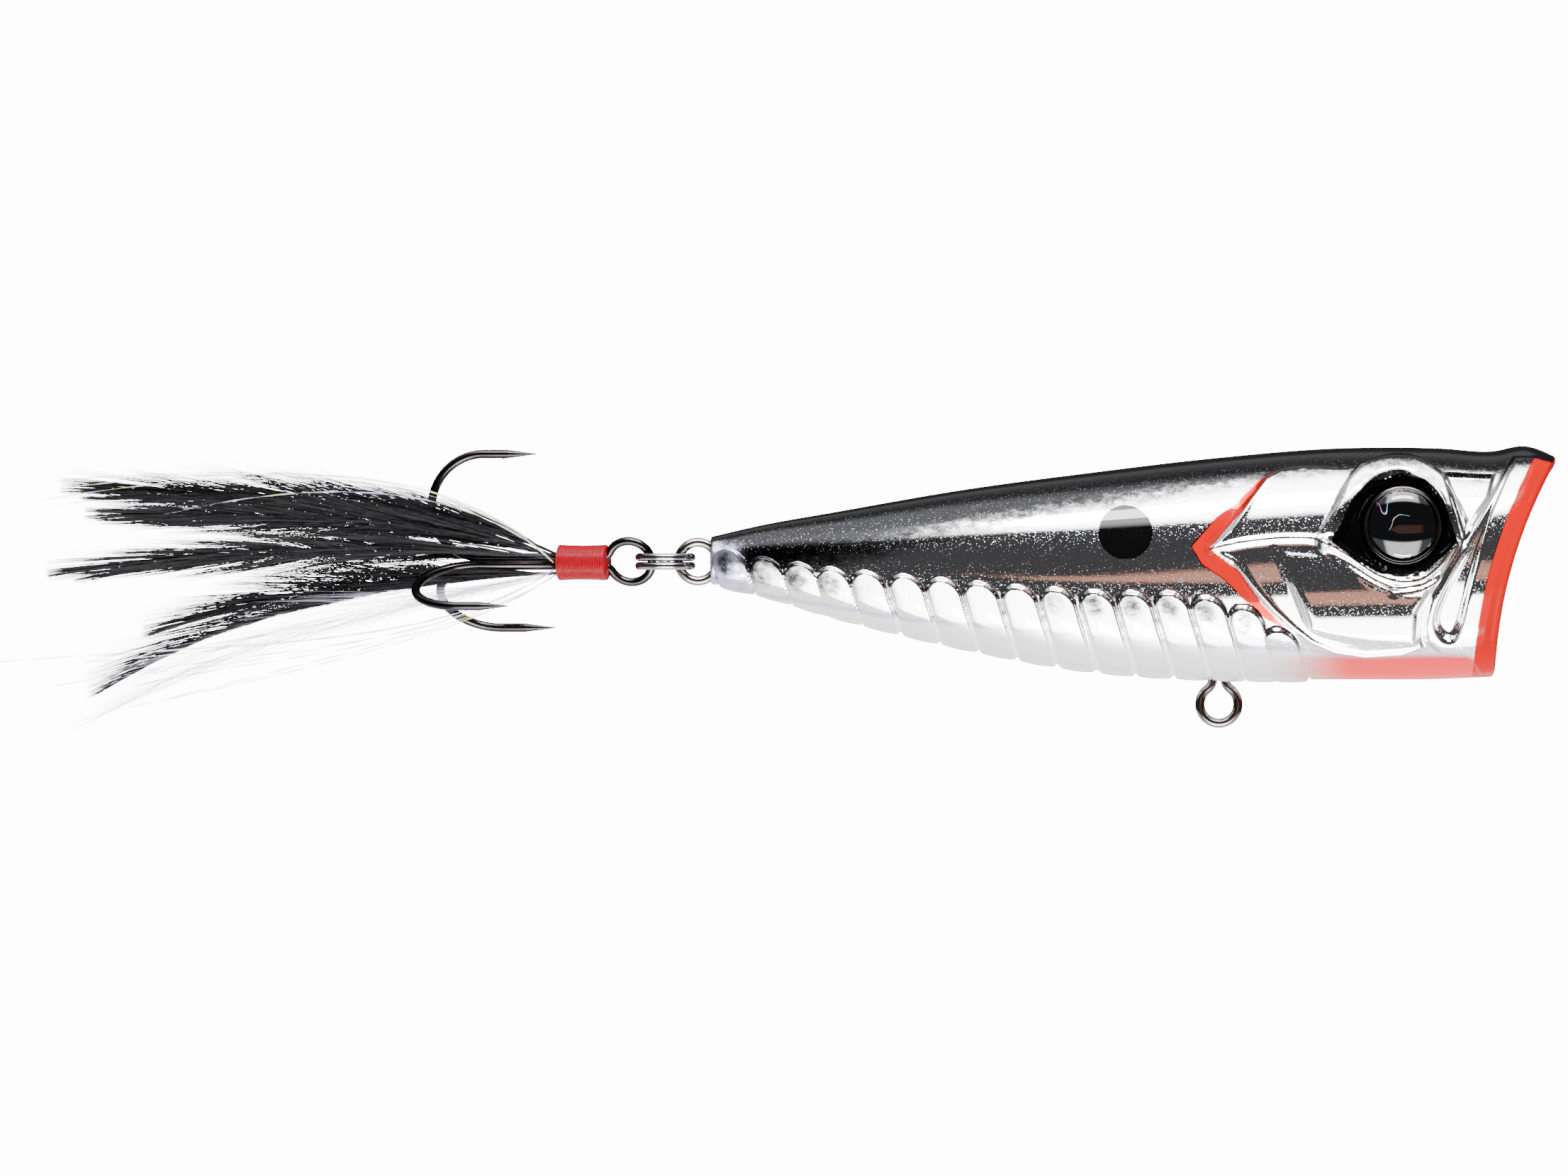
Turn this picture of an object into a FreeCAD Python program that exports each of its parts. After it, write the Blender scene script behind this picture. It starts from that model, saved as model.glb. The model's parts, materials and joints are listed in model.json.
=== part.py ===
"""Topwater popper: a hollow two-shell fishing lure with a feathered treble hook on a split ring.

Millimetres. +X points out of the mouth, +Z to the back of the fish and +Y to its left side.
The origin is the centre of the line tie's eye, where the line pulls.
"""
import FreeCAD, Part
import math
import os

V = FreeCAD.Vector
X_AXIS, Y_AXIS, Z_AXIS = V(1, 0, 0), V(0, 1, 0), V(0, 0, 1)

# Driving dimensions: each is a cell of the sheet, with this name as its alias.
SIZES = {
    # hull
    "body_length": 70.0,        # tail face to the tip of the upper lip
    "body_height": 19.6,        # back to belly at the head
    "body_width": 16.6,         # flank to flank at the head
    "wall": 1.25,               # shell wall
    "solid_tail": 8.5,          # length of the tail that has no cavity
    # mouth
    "nose_reach": 5.3,          # line tie to the tip of the upper lip, along X
    "upper_lip_up": 7.1,        # line tie to that tip, along Z
    "lower_lip_reach": 0.2,     # line tie to the edge of the lower lip, along X
    "lower_lip_down": 10.8,
    "mouth_sag": 1.15,          # how far the mouth's face is hollowed between its lips
    "cup_depth": 5.4,
    "lip_wall": 1.1,
    "cup_room": 1.5,            # cavity's front end behind the lower lip
    # eyes
    "eye_dia": 6.6,
    "eye_back": 7.1,
    "eye_up": 1.72,
    "eye_disc_thick": 0.35,
    "eye_edge_thick": 0.6,      # straight edge of the lens, under its dome
    "eye_crown": 1.1,           # height of the dome over its edge
    "eye_sink": 0.85,           # disc's face under the flank
    # line tie and hangers
    "hanger_wire": 0.78,
    "tie_eye": 1.5,             # clear holes of the three eyes
    "belly_eye": 2.4,
    "tail_eye": 2.45,
    "tie_leg": 8.4,             # eye centre to the feet
    "belly_leg": 6.6,
    "tail_leg": 6.4,
    "hanger_foot": 0.8,         # foot beyond its bend
    "leg_gap": 0.3,             # between the two legs of a hanger
    "belly_hanger_back": 22.35,
    "belly_hanger_down": 13.15,
    "tail_eye_out": 1.12,       # tail face to the eye's centre
    "tail_eye_down": 1.25,
    "block_wall": 1.4,          # plastic around the wires
    # ballast and rattles
    "weight_dia": 4.0,
    "weight_length": 10.0,
    "weight_back": 42.5,
    "weight_down": 4.2,
    "rattle_dia": 3.0,
    "rattle_travel": 2.4,       # each way from the middle
    "front_rattle_back": 14.4,
    "rear_rattle_back": 30.2,
    "rattle_down": 1.4,
    "pocket_wall": 0.9,         # plastic around the weight and the rattles
    # posts that join the shells
    "post_dia": 3.2,
    "pin_dia": 1.4,
    "pin_length": 1.2,
    # split ring
    "ring_wire": 0.68,
    "ring_hole": 3.7,
    "coil_gap": 0.04,           # between the ring's two turns
    # treble hook
    "hook_wire": 0.73,
    "hook_eye": 3.0,
    "hook_shank": 12.85,        # eye centre to the centre of the bends
    "hook_bend": 4.35,
    "hook_point": 4.6,          # tip ahead of the bend's centre
    "point_taper": 2.6,
    "barb_length": 1.0,
    "braze_gap": 0.02,          # between the three wires of the shank
    "hook_roll": 6.6,
    "hook_yaw": 14.0,
    # dressing
    "wrap_start": 1.85,
    "wrap_length": 4.4,
    "quill_room": 0.5,          # between the shank's wires and the thread, for the quills
    "wrap_thread": 0.25,        # thickness of the layer of thread
    "root_length": 1.4,         # quill held under the thread
    "quill_width": 0.24,
    "blade_thick": 0.18,
    "tinsel_thick": 0.1,
    # fits
    "fit_gap": 0.05,            # around wires, weight, rattles, eyes and pins
    "link_gap": 0.12,           # between linked rings
    "blade_gap": 0.4,           # hook's bends to the feathers' blades
}

# Hull stations: share of the length from the tail, back and belly as shares of body_height
# above the line tie, and half width as a share of body_width.
STATIONS = [
    (0.00, 0.042, -0.160, 0.125),
    (0.05, 0.084, -0.196, 0.160),
    (0.15, 0.149, -0.301, 0.240),
    (0.30, 0.242, -0.432, 0.335),
    (0.45, 0.314, -0.528, 0.412),
    (0.60, 0.377, -0.564, 0.465),
    (0.75, 0.419, -0.566, 0.490),
    (0.87, 0.418, -0.564, 0.495),
    (0.93, 0.406, -0.555, 0.500),
    (0.97, 0.428, -0.552, 0.510),
    (1.02, 0.360, -0.552, 0.505),
]
SECTION_POWER = 2.2    # 2 is an ellipse, more is boxier
SECTION_POINTS = 10

# Posts that join the shells: share of the length from the tail, share of body_height up.
POSTS = [(0.22, -0.05), (0.43, 0.19), (0.66, 0.26), (0.69, -0.40)]

# Hackles: place round the shank in degrees from up towards the right flank, splay aside in
# degrees, rise of the tip as a share of the length, length, swell over and under the quill.
BLACK_HACKLES = [
    (35, 1.4, 0.134, 41.0, 4.6, 2.6),
    (53, 4.3, 0.060, 42.0, 4.0, 3.0),
    (71, 5.6, -0.024, 42.6, 4.0, 3.4),
    (155, 0.0, -0.142, 34.6, 3.6, 3.0),
    (191, 0.0, -0.240, 39.8, 4.0, 2.6),
    (275, -3.8, -0.060, 41.0, 3.6, 3.4),
    (293, -2.2, 0.030, 42.0, 4.0, 3.0),
    (311, -0.9, 0.100, 39.0, 4.2, 2.6),
]
WHITE_HACKLES = [
    (137, 2.9, -0.330, 36.0, 3.2, 2.0),
    (173, 0.0, -0.300, 41.0, 3.0, 1.6),
    (209, -0.3, -0.270, 38.0, 3.2, 2.0),
]
# Strands of flash tinsel: the same first four values, then the strand's width.
TINSELS = [
    (90, 8.0, 0.110, 44.0, 0.5),
    (262, -8.0, 0.020, 45.0, 0.5),
    (120, 8.6, -0.240, 46.5, 0.5),
    (222, -8.6, -0.205, 46.0, 0.5),
]
HACKLE_DEPTH = 0.13    # quills and tinsel under the thread, out from the shank's wires
TINSEL_DEPTH = 0.33

doc = FreeCAD.newDocument("popper")


def make_sheet():
    """The spreadsheet of driving dimensions."""
    cells = doc.addObject("Spreadsheet::Sheet", "sizes")
    for row, (name, value) in enumerate(SIZES.items(), start=1):
        cells.set(f"A{row}", name)
        cells.set(f"B{row}", str(value))
        cells.setAlias(f"B{row}", name)
    doc.recompute()
    return cells


sheet = make_sheet()
CELLS = {name: "sizes." + name for name in SIZES}


def size(name):
    """The value of one cell."""
    return float(getattr(sheet, name))


def bind(piece, formulas):
    """Bind properties to formulas, in which {name} is a cell."""
    for prop, formula in formulas.items():
        piece.setExpression(prop, formula.format(**CELLS))


def primitive(kind, name, formulas, at=("0", "0", "0"), turn=(Z_AXIS, 0)):
    """A Part primitive, its sizes and its place bound to the sheet, turned (axis, degrees)."""
    piece = doc.addObject("Part::" + kind, name)
    piece.Placement = FreeCAD.Placement(V(0, 0, 0), FreeCAD.Rotation(*turn))
    bind(piece, formulas)
    bind(piece, {"Placement.Base." + letter: formula for letter, formula in zip("xyz", at)})
    return piece


def fused(name, pieces):
    """One solid from several."""
    piece = doc.addObject("Part::MultiFuse", name)
    piece.Shapes = pieces
    return piece


def paired(kind, name, base, tool):
    """A Part::Cut or Part::Common of two objects."""
    piece = doc.addObject("Part::" + kind, name)
    piece.Base = base
    piece.Tool = tool
    return piece


def shape_of(name, shape, place=None):
    """An object that holds a ready shape: a freeform loft or the path of a wire."""
    piece = doc.addObject("Part::Feature", name)
    piece.Shape = shape
    if place is not None:
        piece.Placement = place
    return piece


def wire_solid(name, edges, diameter):
    """Round wire swept along tangent runs and arcs; diameter is a formula."""
    path = shape_of(name + "_path", Part.Wire(edges))
    start = edges[0].valueAt(edges[0].FirstParameter)
    heading = edges[0].tangentAt(edges[0].FirstParameter)
    section = doc.addObject("Part::Circle", name + "_section")
    section.Placement = FreeCAD.Placement(start, FreeCAD.Rotation(Z_AXIS, heading))
    bind(section, {"Radius": "(" + diameter + ") / 2"})
    sweep = doc.addObject("Part::Sweep", name)
    sweep.Sections = [section]
    sweep.Spine = (path, [])
    sweep.Solid = True
    return sweep


def line(start, end):
    return Part.LineSegment(start, end).toShape()


def arc(start, middle, end):
    return Part.Arc(start, middle, end).toShape()


# ---------------------------------------------------------------- hull

def station_x(share):
    return size("nose_reach") - size("body_length") * (1.0 - share)


def hull_at(share):
    """Back, belly and half width of the hull at a share of its length, between two stations."""
    for low, high in zip(STATIONS, STATIONS[1:]):
        if share <= high[0]:
            break
    part = (share - low[0]) / (high[0] - low[0])
    back, belly, half = (a + (b - a) * part for a, b in zip(low[1:], high[1:]))
    return back * size("body_height"), belly * size("body_height"), half * size("body_width")


def flank_y(x, z):
    """Half width of the hull at a place on its flank."""
    share = (x - station_x(0.0)) / size("body_length")
    back, belly, half = hull_at(share)
    height = abs(z - (back + belly) / 2) / ((back - belly) / 2)
    return half * (1.0 - height ** SECTION_POWER) ** (1.0 / SECTION_POWER)


def section_wire(x, back, belly, half, hand):
    """Half of a section of the hull, square to X: its flank from back to belly, and the middle."""
    middle, rise = (back + belly) / 2, (back - belly) / 2
    points = []
    for step in range(SECTION_POINTS + 1):
        angle = math.pi * step / SECTION_POINTS
        out, up = max(math.sin(angle), 0.0), math.cos(angle)
        y = hand * half * out ** (2 / SECTION_POWER)
        z = middle + rise * math.copysign(abs(up) ** (2 / SECTION_POWER), up)
        points.append(V(x, y, z))
    curve = Part.BSplineCurve()
    curve.interpolate(Points=points, InitialTangent=Y_AXIS * hand, FinalTangent=Y_AXIS * -hand)
    return Part.Wire([curve.toShape(), line(points[-1], points[0])])


def half_loft(name, inset, first_x, last_x, hand):
    """One half of the hull between two places, its flank moved in by inset."""
    xs = [station_x(station[0]) for station in STATIONS]
    xs = [first_x] + [x for x in xs if first_x + 2 < x < last_x - 2] + [last_x]
    wires = []
    for x in xs:
        share = (x - station_x(0.0)) / size("body_length")
        back, belly, half = hull_at(share)
        wires.append(section_wire(x, back - inset, belly + inset, half - inset, hand))
    return shape_of(name, Part.makeLoft(wires, True, False))


def mouth_frame():
    """Middle of the mouth, the way it faces and half its height, from its two lips."""
    upper = V(size("nose_reach"), 0, size("upper_lip_up"))
    lower = V(size("lower_lip_reach"), 0, -size("lower_lip_down"))
    chord = upper - lower
    facing = V(chord.z, 0, -chord.x).normalize()
    return (upper + lower) * 0.5, facing, chord.Length / 2


def mouth_cut():
    """The space ahead of the mouth's face, an arc seen from the side."""
    middle, facing, half = mouth_frame()
    sag = size("mouth_sag")
    radius = (half ** 2 + sag ** 2) / (2 * sag)
    centre = middle + facing * (radius - sag)
    reach = size("body_width")
    cylinder = Part.makeCylinder(radius, 2 * reach, V(centre.x, -reach, centre.z), Y_AXIS)
    return shape_of("mouth_cut", cylinder)


def cup_solid(name, grow):
    """The cup behind the mouth's face: an ellipsoid, grown by a wall where asked."""
    middle, facing, half = mouth_frame()
    cup = doc.addObject("Part::Ellipsoid", name)
    cup.Placement = FreeCAD.Placement(middle, FreeCAD.Rotation(Z_AXIS, facing))
    turned = cup.Placement.Rotation.multVec(X_AXIS)
    tall, wide = ("Radius2", "Radius3") if abs(turned.y) < 0.5 else ("Radius3", "Radius2")
    bind(cup, {
        "Radius1": "{cup_depth} + " + grow,
        tall: f"{half} - {{lip_wall}} + " + grow,
        wide: "{body_width} * " + str(STATIONS[-2][3]) + " - {lip_wall} + " + grow,
        "Angle1": "-90",
        "Angle2": "90",
    })
    return cup


def hanger_edges(eye, down, leg, foot, hole, wire):
    """Path of a hanger in the XZ plane: foot, leg, eye, leg, foot.

    eye is its centre, down the unit direction of its legs.
    """
    side = V(-down.z, 0, down.x)
    ring = (hole + wire) / 2
    half_gap = (wire + size("leg_gap")) / 2
    turn = wire * 1.2
    reach = math.sqrt((ring + turn) ** 2 - (half_gap + turn) ** 2)
    lean = math.atan2(half_gap + turn, reach)

    def at(along, across):
        return eye + down * along + side * across

    def half_path(hand):
        waist = at(ring * math.cos(lean), hand * ring * math.sin(lean))
        middle = (math.pi / 2 - lean) / 2 + lean
        bend = at(reach - turn * math.cos(middle), hand * (half_gap + turn - turn * math.sin(middle)))
        top = at(reach, hand * half_gap)
        knee = at(leg - turn, hand * half_gap)
        knee_middle = at(leg - turn * (1 - math.sqrt(0.5)), hand * (half_gap + turn * (1 - math.sqrt(0.5))))
        knee_end = at(leg, hand * (half_gap + turn))
        toe = at(leg, hand * (half_gap + turn + foot))
        return [(toe, knee_end), (knee_end, knee_middle, knee), (knee, top), (top, bend, waist)], waist

    first, start = half_path(1)
    second, end = half_path(-1)
    path = [line(*run) if len(run) == 2 else arc(*run) for run in first]
    path.append(arc(start, at(-ring, 0), end))
    path += [line(*run[::-1]) if len(run) == 2 else arc(*run[::-1]) for run in reversed(second)]
    return path


HANGERS = {
    # name: eye centre, direction of the legs, leg, hole
    "line_tie_wire": (V(0, 0, 0), V(-1, 0, 0), "tie_leg", "tie_eye"),
    "belly_hanger_wire": (V(-size("belly_hanger_back"), 0, -size("belly_hanger_down")),
                          V(0, 0, 1), "belly_leg", "belly_eye"),
    "tail_hanger_wire": (V(station_x(0.0) - size("tail_eye_out"), 0, -size("tail_eye_down")),
                         V(1, 0, 0), "tail_leg", "tail_eye"),
}


def make_hangers():
    """The three wires, and the channels that hold them, a fit wider."""
    channels = []
    for name, (eye, down, leg, hole) in HANGERS.items():
        edges = hanger_edges(eye, down, size(leg), size("hanger_foot"), size(hole), size("hanger_wire"))
        wire_solid(name, edges, "{hanger_wire}")
        longer = hanger_edges(eye, down, size(leg), size("hanger_foot") + size("fit_gap"),
                              size(hole), size("hanger_wire"))
        channels.append(wire_solid(name + "_channel", longer, "{hanger_wire} + 2 * {fit_gap}"))
    return channels


def wire_blocks():
    """Plastic around the legs of the line tie and the belly hanger."""
    span = "(3.4 * {hanger_wire} + 2 * {hanger_foot} + 2 * {block_wall} + {fit_gap})"
    thick = "({hanger_wire} + 2 * {block_wall})"
    tie = primitive("Box", "tie_block",
                    {"Length": "{tie_leg} + {block_wall}", "Width": thick, "Height": span},
                    ("-{tie_leg} - {block_wall}", "-" + thick + " / 2", "-" + span + " / 2"))
    belly = primitive("Box", "belly_block",
                      {"Length": span, "Width": thick, "Height": "{belly_leg} + {block_wall}"},
                      ("-{belly_hanger_back} - " + span + " / 2", "-" + thick + " / 2",
                       "-{belly_hanger_down}"))
    return [tie, belly]


def across(name, radius, length, back, up):
    """A cylinder along Y, centred on the lure's middle plane."""
    return primitive("Cylinder", name, {"Radius": radius, "Height": length},
                     (back, "(" + length + ") / 2", up), (X_AXIS, 90))


def rattle_pockets():
    """Pockets for the rattle balls: plastic around them and the bores."""
    walls, bores = [], []
    for place in ("front", "rear"):
        back = "-{" + place + "_rattle_back}"
        bore = "{rattle_dia} / 2 + {fit_gap}"
        walls.append(across(place + "_rattle_wall", bore + " + {pocket_wall}", "{body_width}",
                            back, "-{rattle_down}"))
        bores.append(across(place + "_rattle_bore", bore,
                            "2 * {rattle_travel} + {rattle_dia} + 2 * {fit_gap}",
                            back, "-{rattle_down}"))
    return walls, bores


def weight_pocket():
    """The seat of the ballast weight: plastic around it with a stay to both flanks, and its bore."""
    def along(name, grow):
        return primitive("Cylinder", name,
                         {"Radius": "{weight_dia} / 2 + " + grow,
                          "Height": "{weight_length} + 2 * (" + grow + ")"},
                         ("-{weight_back} - {weight_length} / 2 - (" + grow + ")", "0", "-{weight_down}"),
                         (Y_AXIS, 90))
    stay = across("weight_stay", "{post_dia} / 2", "{body_width}",
                  "-{weight_back} - {weight_length} / 2", "-{weight_down}")
    return [along("weight_wall", "{fit_gap} + {pocket_wall}"), stay], along("weight_bore", "{fit_gap}")


def post_place(post):
    share, up = post
    return "{nose_reach} - {body_length} * " + str(1.0 - share), "{body_height} * " + str(up)


def make_posts():
    """Posts from flank to flank, the pins of the right shell and the pin holes of the left."""
    posts, pins, holes = [], [], []
    for number, post in enumerate(POSTS, start=1):
        x, z = post_place(post)
        posts.append(across(f"post_{number}", "{post_dia} / 2", "{body_width}", x, z))
        pins.append(primitive("Cylinder", f"pin_{number}",
                              {"Radius": "{pin_dia} / 2", "Height": "2 * {pin_length}"},
                              (x, "{pin_length}", z), (X_AXIS, 90)))
        holes.append(primitive("Cylinder", f"pin_hole_{number}",
                               {"Radius": "{pin_dia} / 2 + {fit_gap}",
                                "Height": "{pin_length} + {fit_gap}"},
                               (x, "{pin_length} + {fit_gap}", z), (X_AXIS, 90)))
    return posts, pins, holes


def eye_cylinder(name, hand, radius, inner, thick):
    """A cylinder on an eye's axis; inner is how far its inner face is from the middle plane."""
    if hand > 0:
        far = inner + " + " + thick
    else:
        far = "-(" + inner + ")"
    return primitive("Cylinder", name, {"Radius": radius, "Height": thick},
                     ("-{eye_back}", far, "{eye_up}"), (X_AXIS, 90))


def make_eyes():
    """The eyes' discs and domed lenses; returns the shells' bosses and sockets for them."""
    flank = flank_y(-size("eye_back"), size("eye_up"))
    share = flank / size("body_width")
    face = "{body_width} * " + str(round(share, 4)) + " - {eye_sink}"
    bosses, sockets = [], []
    for side, hand in (("right", -1), ("left", 1)):
        seat = face + " - {eye_disc_thick}"
        eye_cylinder("eye_disc_" + side, hand, "{eye_dia} / 2", seat, "{eye_disc_thick}")
        sockets.append(eye_cylinder("eye_socket_" + side, hand, "{eye_dia} / 2 + {fit_gap}",
                                    seat, "{eye_disc_thick} + {body_width}"))
        bosses.append(eye_cylinder("eye_boss_" + side, hand, "{eye_dia} / 2 + {wall}",
                                   seat + " - {wall}", "{wall} + {body_width}"))
        lens_base = face + " + 0.1 * {fit_gap}"
        edge = eye_cylinder("lens_edge_" + side, hand, "{eye_dia} / 2", lens_base,
                            "{eye_edge_thick} + {eye_crown}")
        curve = "(({eye_dia} / 2)^2 + {eye_crown}^2) / (2 * {eye_crown})"
        sign = "" if hand > 0 else "-"
        ball = primitive("Sphere", "lens_ball_" + side, {"Radius": curve},
                         ("-{eye_back}",
                          sign + "(" + lens_base + " + {eye_edge_thick} + {eye_crown} - " + curve + ")",
                          "{eye_up}"))
        paired("Common", "eye_lens_" + side, edge, ball)
    return bosses, sockets


def make_shells():
    """The two clear halves, welded on the middle plane, with everything that they hold."""
    tail, nose = station_x(0.0), station_x(STATIONS[-1][0])
    cavity_end = size("lower_lip_reach") - size("cup_room")
    channels = make_hangers()
    rattle_walls, rattle_bores = rattle_pockets()
    weight_walls, weight_bore = weight_pocket()
    posts, pins, pin_holes = make_posts()
    bosses, sockets = make_eyes()
    inner = fused("inner_plastic", [cup_solid("cup_wall", "{wall}")] + weight_walls
                  + wire_blocks() + rattle_walls + posts + bosses)
    openings = fused("shell_openings", [mouth_cut(), cup_solid("cup", "0"), weight_bore]
                     + channels + rattle_bores + sockets)
    for side, hand in (("right", -1), ("left", 1)):
        hull = half_loft("hull_" + side, 0.0, tail, nose, hand)
        cavity = half_loft("cavity_" + side, size("wall"), tail + size("solid_tail"), cavity_end, hand)
        hollow = paired("Cut", "hollow_" + side, cavity, inner)
        walls = paired("Cut", "walls_" + side, hull, hollow)
        shell = paired("Cut", "shell_blank_" + side, walls, openings)
        if hand < 0:
            fused("shell_" + side, [shell] + pins)
        else:
            paired("Cut", "shell_" + side, shell, fused("pin_holes", pin_holes))


def make_inner_pieces():
    """The ballast weight and the rattle balls."""
    primitive("Cylinder", "ballast_weight",
              {"Radius": "{weight_dia} / 2", "Height": "{weight_length}"},
              ("-{weight_back} - {weight_length} / 2", "0", "-{weight_down}"), (Y_AXIS, 90))
    for place in ("front", "rear"):
        primitive("Sphere", "rattle_ball_" + place, {"Radius": "{rattle_dia} / 2"},
                  ("-{" + place + "_rattle_back}", "0", "-{rattle_down}"))


# ---------------------------------------------------------------- split ring and treble

def ring_centre():
    """The ring hangs back in the tail eye until its inner edge nears the eye's wire."""
    coil = size("ring_wire") + size("coil_gap") / 2
    hang = math.sqrt((size("tail_eye") / 2) ** 2 - coil ** 2) - size("link_gap")
    eye = HANGERS["tail_hanger_wire"][0]
    return eye - V(size("ring_hole") / 2 + hang, 0, 0)


def make_split_ring():
    """Two turns of round wire, one over the other in the XY plane, joined where the wire steps up."""
    centre = ring_centre()
    step = "({ring_wire} + {coil_gap}) / 2"
    wires = {"Radius1": "({ring_hole} + {ring_wire}) / 2", "Radius2": "{ring_wire} / 2"}
    x, y, z = str(centre.x), "({ring_hole} + {ring_wire}) / 2", str(centre.z)
    lower = primitive("Torus", "ring_lower_turn", wires, (x, "0", z + " - " + step))
    upper = primitive("Torus", "ring_upper_turn", wires, (x, "0", z + " + " + step))
    step_up = primitive("Cylinder", "ring_step", {"Radius": "0.4 * {ring_wire}", "Height": "2 * " + step},
                        (x, y, z + " - " + step))
    return fused("split_ring", [lower, upper, step_up])


def hook_place():
    """Where the hook hangs: its eye's centre behind the ring's centre, the hook swung aside."""
    coil = (size("ring_wire") + size("coil_gap") / 2) / math.cos(math.radians(30 - size("hook_roll")))
    hang = math.sqrt((size("hook_eye") / 2) ** 2 - coil ** 2) - size("link_gap")
    swing = FreeCAD.Rotation(Z_AXIS, -size("hook_yaw"))
    offset = swing.multVec(V(-size("ring_hole") / 2 - hang, 0, 0))
    return FreeCAD.Placement(ring_centre() + offset, swing)


def spoke(degrees):
    """Unit direction across the shank, in degrees from up towards the right flank."""
    angle = math.radians(degrees)
    return V(0, -math.sin(angle), math.cos(angle))


TINES = {name: spoke(120 * step - size("hook_roll")) for step, name in enumerate(("up", "near", "far"))}
WIRE_PITCH = size("hook_wire") + size("braze_gap")
BUNDLE = WIRE_PITCH / math.sqrt(3)
SHANK_AXIS = TINES["near"] * (BUNDLE / 2)
SHANK_RADIUS = BUNDLE + size("hook_wire") / 2


def bend_path(name):
    """Path of one tine: from the end of its shank round the bend to the foot of its point."""
    spoke_way = TINES[name]
    radius = size("hook_bend")
    foot = SHANK_AXIS + spoke_way * BUNDLE + V(-size("hook_shank"), 0, 0)
    out = foot + spoke_way * radius * 2
    back = foot + spoke_way * radius - V(radius, 0, 0)
    tip_foot = out + V(size("hook_point") - size("point_taper"), 0, 0)
    return foot, back, out, tip_foot


def point_solids(name):
    """The ground point of a tine and its barb."""
    tip_foot = bend_path(name)[3]
    radius = size("hook_wire") / 2
    point = Part.makeCone(radius, radius / 12, size("point_taper"), tip_foot, X_AXIS)
    rise = V(-size("barb_length"), 0, 0) - TINES[name] * (radius * 1.1)
    barb_root = tip_foot + V(size("barb_length") * 0.6, 0, 0)
    barb = Part.makeCone(radius * 0.75, radius / 12, rise.Length, barb_root, rise)
    return [point, barb]


def eye_transition():
    """Sizes of the hook eye's neck: ring radius, neck radius, reach and lean."""
    ring = (size("hook_eye") + size("hook_wire")) / 2
    neck = size("hook_wire") * 1.2
    half_gap = WIRE_PITCH / 2
    reach = math.sqrt((ring + neck) ** 2 - (half_gap + neck) ** 2)
    return ring, neck, reach, math.atan2(half_gap + neck, reach)


def double_wire_edges():
    """One wire bent double: the up tine, its shank, the eye, the far shank and the far tine."""
    side = (TINES["up"] - TINES["far"]).normalize()
    ring, neck, reach, lean = eye_transition()
    half_gap = WIRE_PITCH / 2

    def at(along, across_eye):
        return V(-along, 0, 0) + side * across_eye

    def neck_runs(hand):
        waist = at(ring * math.cos(lean), hand * ring * math.sin(lean))
        middle = (math.pi / 2 + lean) / 2
        bend = at(reach - neck * math.cos(middle), hand * (half_gap + neck - neck * math.sin(middle)))
        return waist, bend, at(reach, hand * half_gap)

    foot, back, out, tip = bend_path("up")
    waist, bend, top = neck_runs(1)
    edges = [line(tip, out), arc(out, back, foot), line(foot, top), arc(top, bend, waist)]
    far_waist, far_bend, far_top = neck_runs(-1)
    edges.append(arc(waist, at(-ring, 0), far_waist))
    foot, back, out, tip = bend_path("far")
    edges += [arc(far_waist, far_bend, far_top), line(far_top, foot), arc(foot, back, out), line(out, tip)]
    return edges


def make_treble():
    """The doubled wire with the eye and two tines, and the third hook brazed beside it."""
    reach = eye_transition()[2]
    foot, back, out, tip = bend_path("near")
    top = V(-reach, foot.y, foot.z)
    third = [line(top, foot), arc(foot, back, out), line(out, tip)]
    pieces = {"treble_double_wire": (double_wire_edges(), ("up", "far")),
              "treble_third_hook": (third, ("near",))}
    for name, (edges, tines) in pieces.items():
        wire = wire_solid(name + "_wire", edges, "{hook_wire}")
        points = [shape_of(f"{name}_{tine}_{number}", solid) for tine in tines
                  for number, solid in enumerate(point_solids(tine), start=1)]
        fused(name, [wire] + points).Placement = hook_place()


def make_wrap():
    """The tube of wound thread that binds the dressing to the shank."""
    bore = f"{SHANK_RADIUS} + {{quill_room}}"
    side, up = str(SHANK_AXIS.y), str(SHANK_AXIS.z)
    outer = primitive("Cylinder", "wrap_outer",
                      {"Radius": bore + " + {wrap_thread}", "Height": "{wrap_length}"},
                      ("-{wrap_start} - {wrap_length}", side, up), (Y_AXIS, 90))
    inner = primitive("Cylinder", "wrap_bore", {"Radius": bore, "Height": "3 * {wrap_length}"},
                      ("-{wrap_start} - 2 * {wrap_length}", side, up), (Y_AXIS, 90))
    paired("Cut", "thread_wrap", outer, inner).Placement = hook_place()


# ---------------------------------------------------------------- dressing

def closed_pad(name, points, thickness):
    """A flat piece: a closed outline in XZ, padded to both sides."""
    body = doc.addObject("PartDesign::Body", name)
    sketch = body.newObject("Sketcher::SketchObject", name + "_outline")
    plane = [item for item in body.Origin.OriginFeatures if item.Role == "XZ_Plane"][0]
    sketch.AttachmentSupport = [(plane, "")]
    sketch.MapMode = "FlatFace"
    for start, end in zip(points, points[1:] + points[:1]):
        sketch.addGeometry(Part.LineSegment(V(*start, 0), V(*end, 0)))
    pad = body.newObject("PartDesign::Pad", name + "_pad")
    pad.Profile = sketch
    pad.Midplane = True
    bind(pad, {"Length": thickness})
    return body


def root_place(degrees, splay, depth):
    """Where a quill leaves the thread, turned aside by its splay."""
    layer = SHANK_AXIS + spoke(degrees) * (SHANK_RADIUS + depth)
    start = layer - V(size("wrap_start") + size("wrap_length"), 0, 0)
    local = FreeCAD.Placement(start, FreeCAD.Rotation(Z_AXIS, splay))
    return hook_place().multiply(local)


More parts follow.
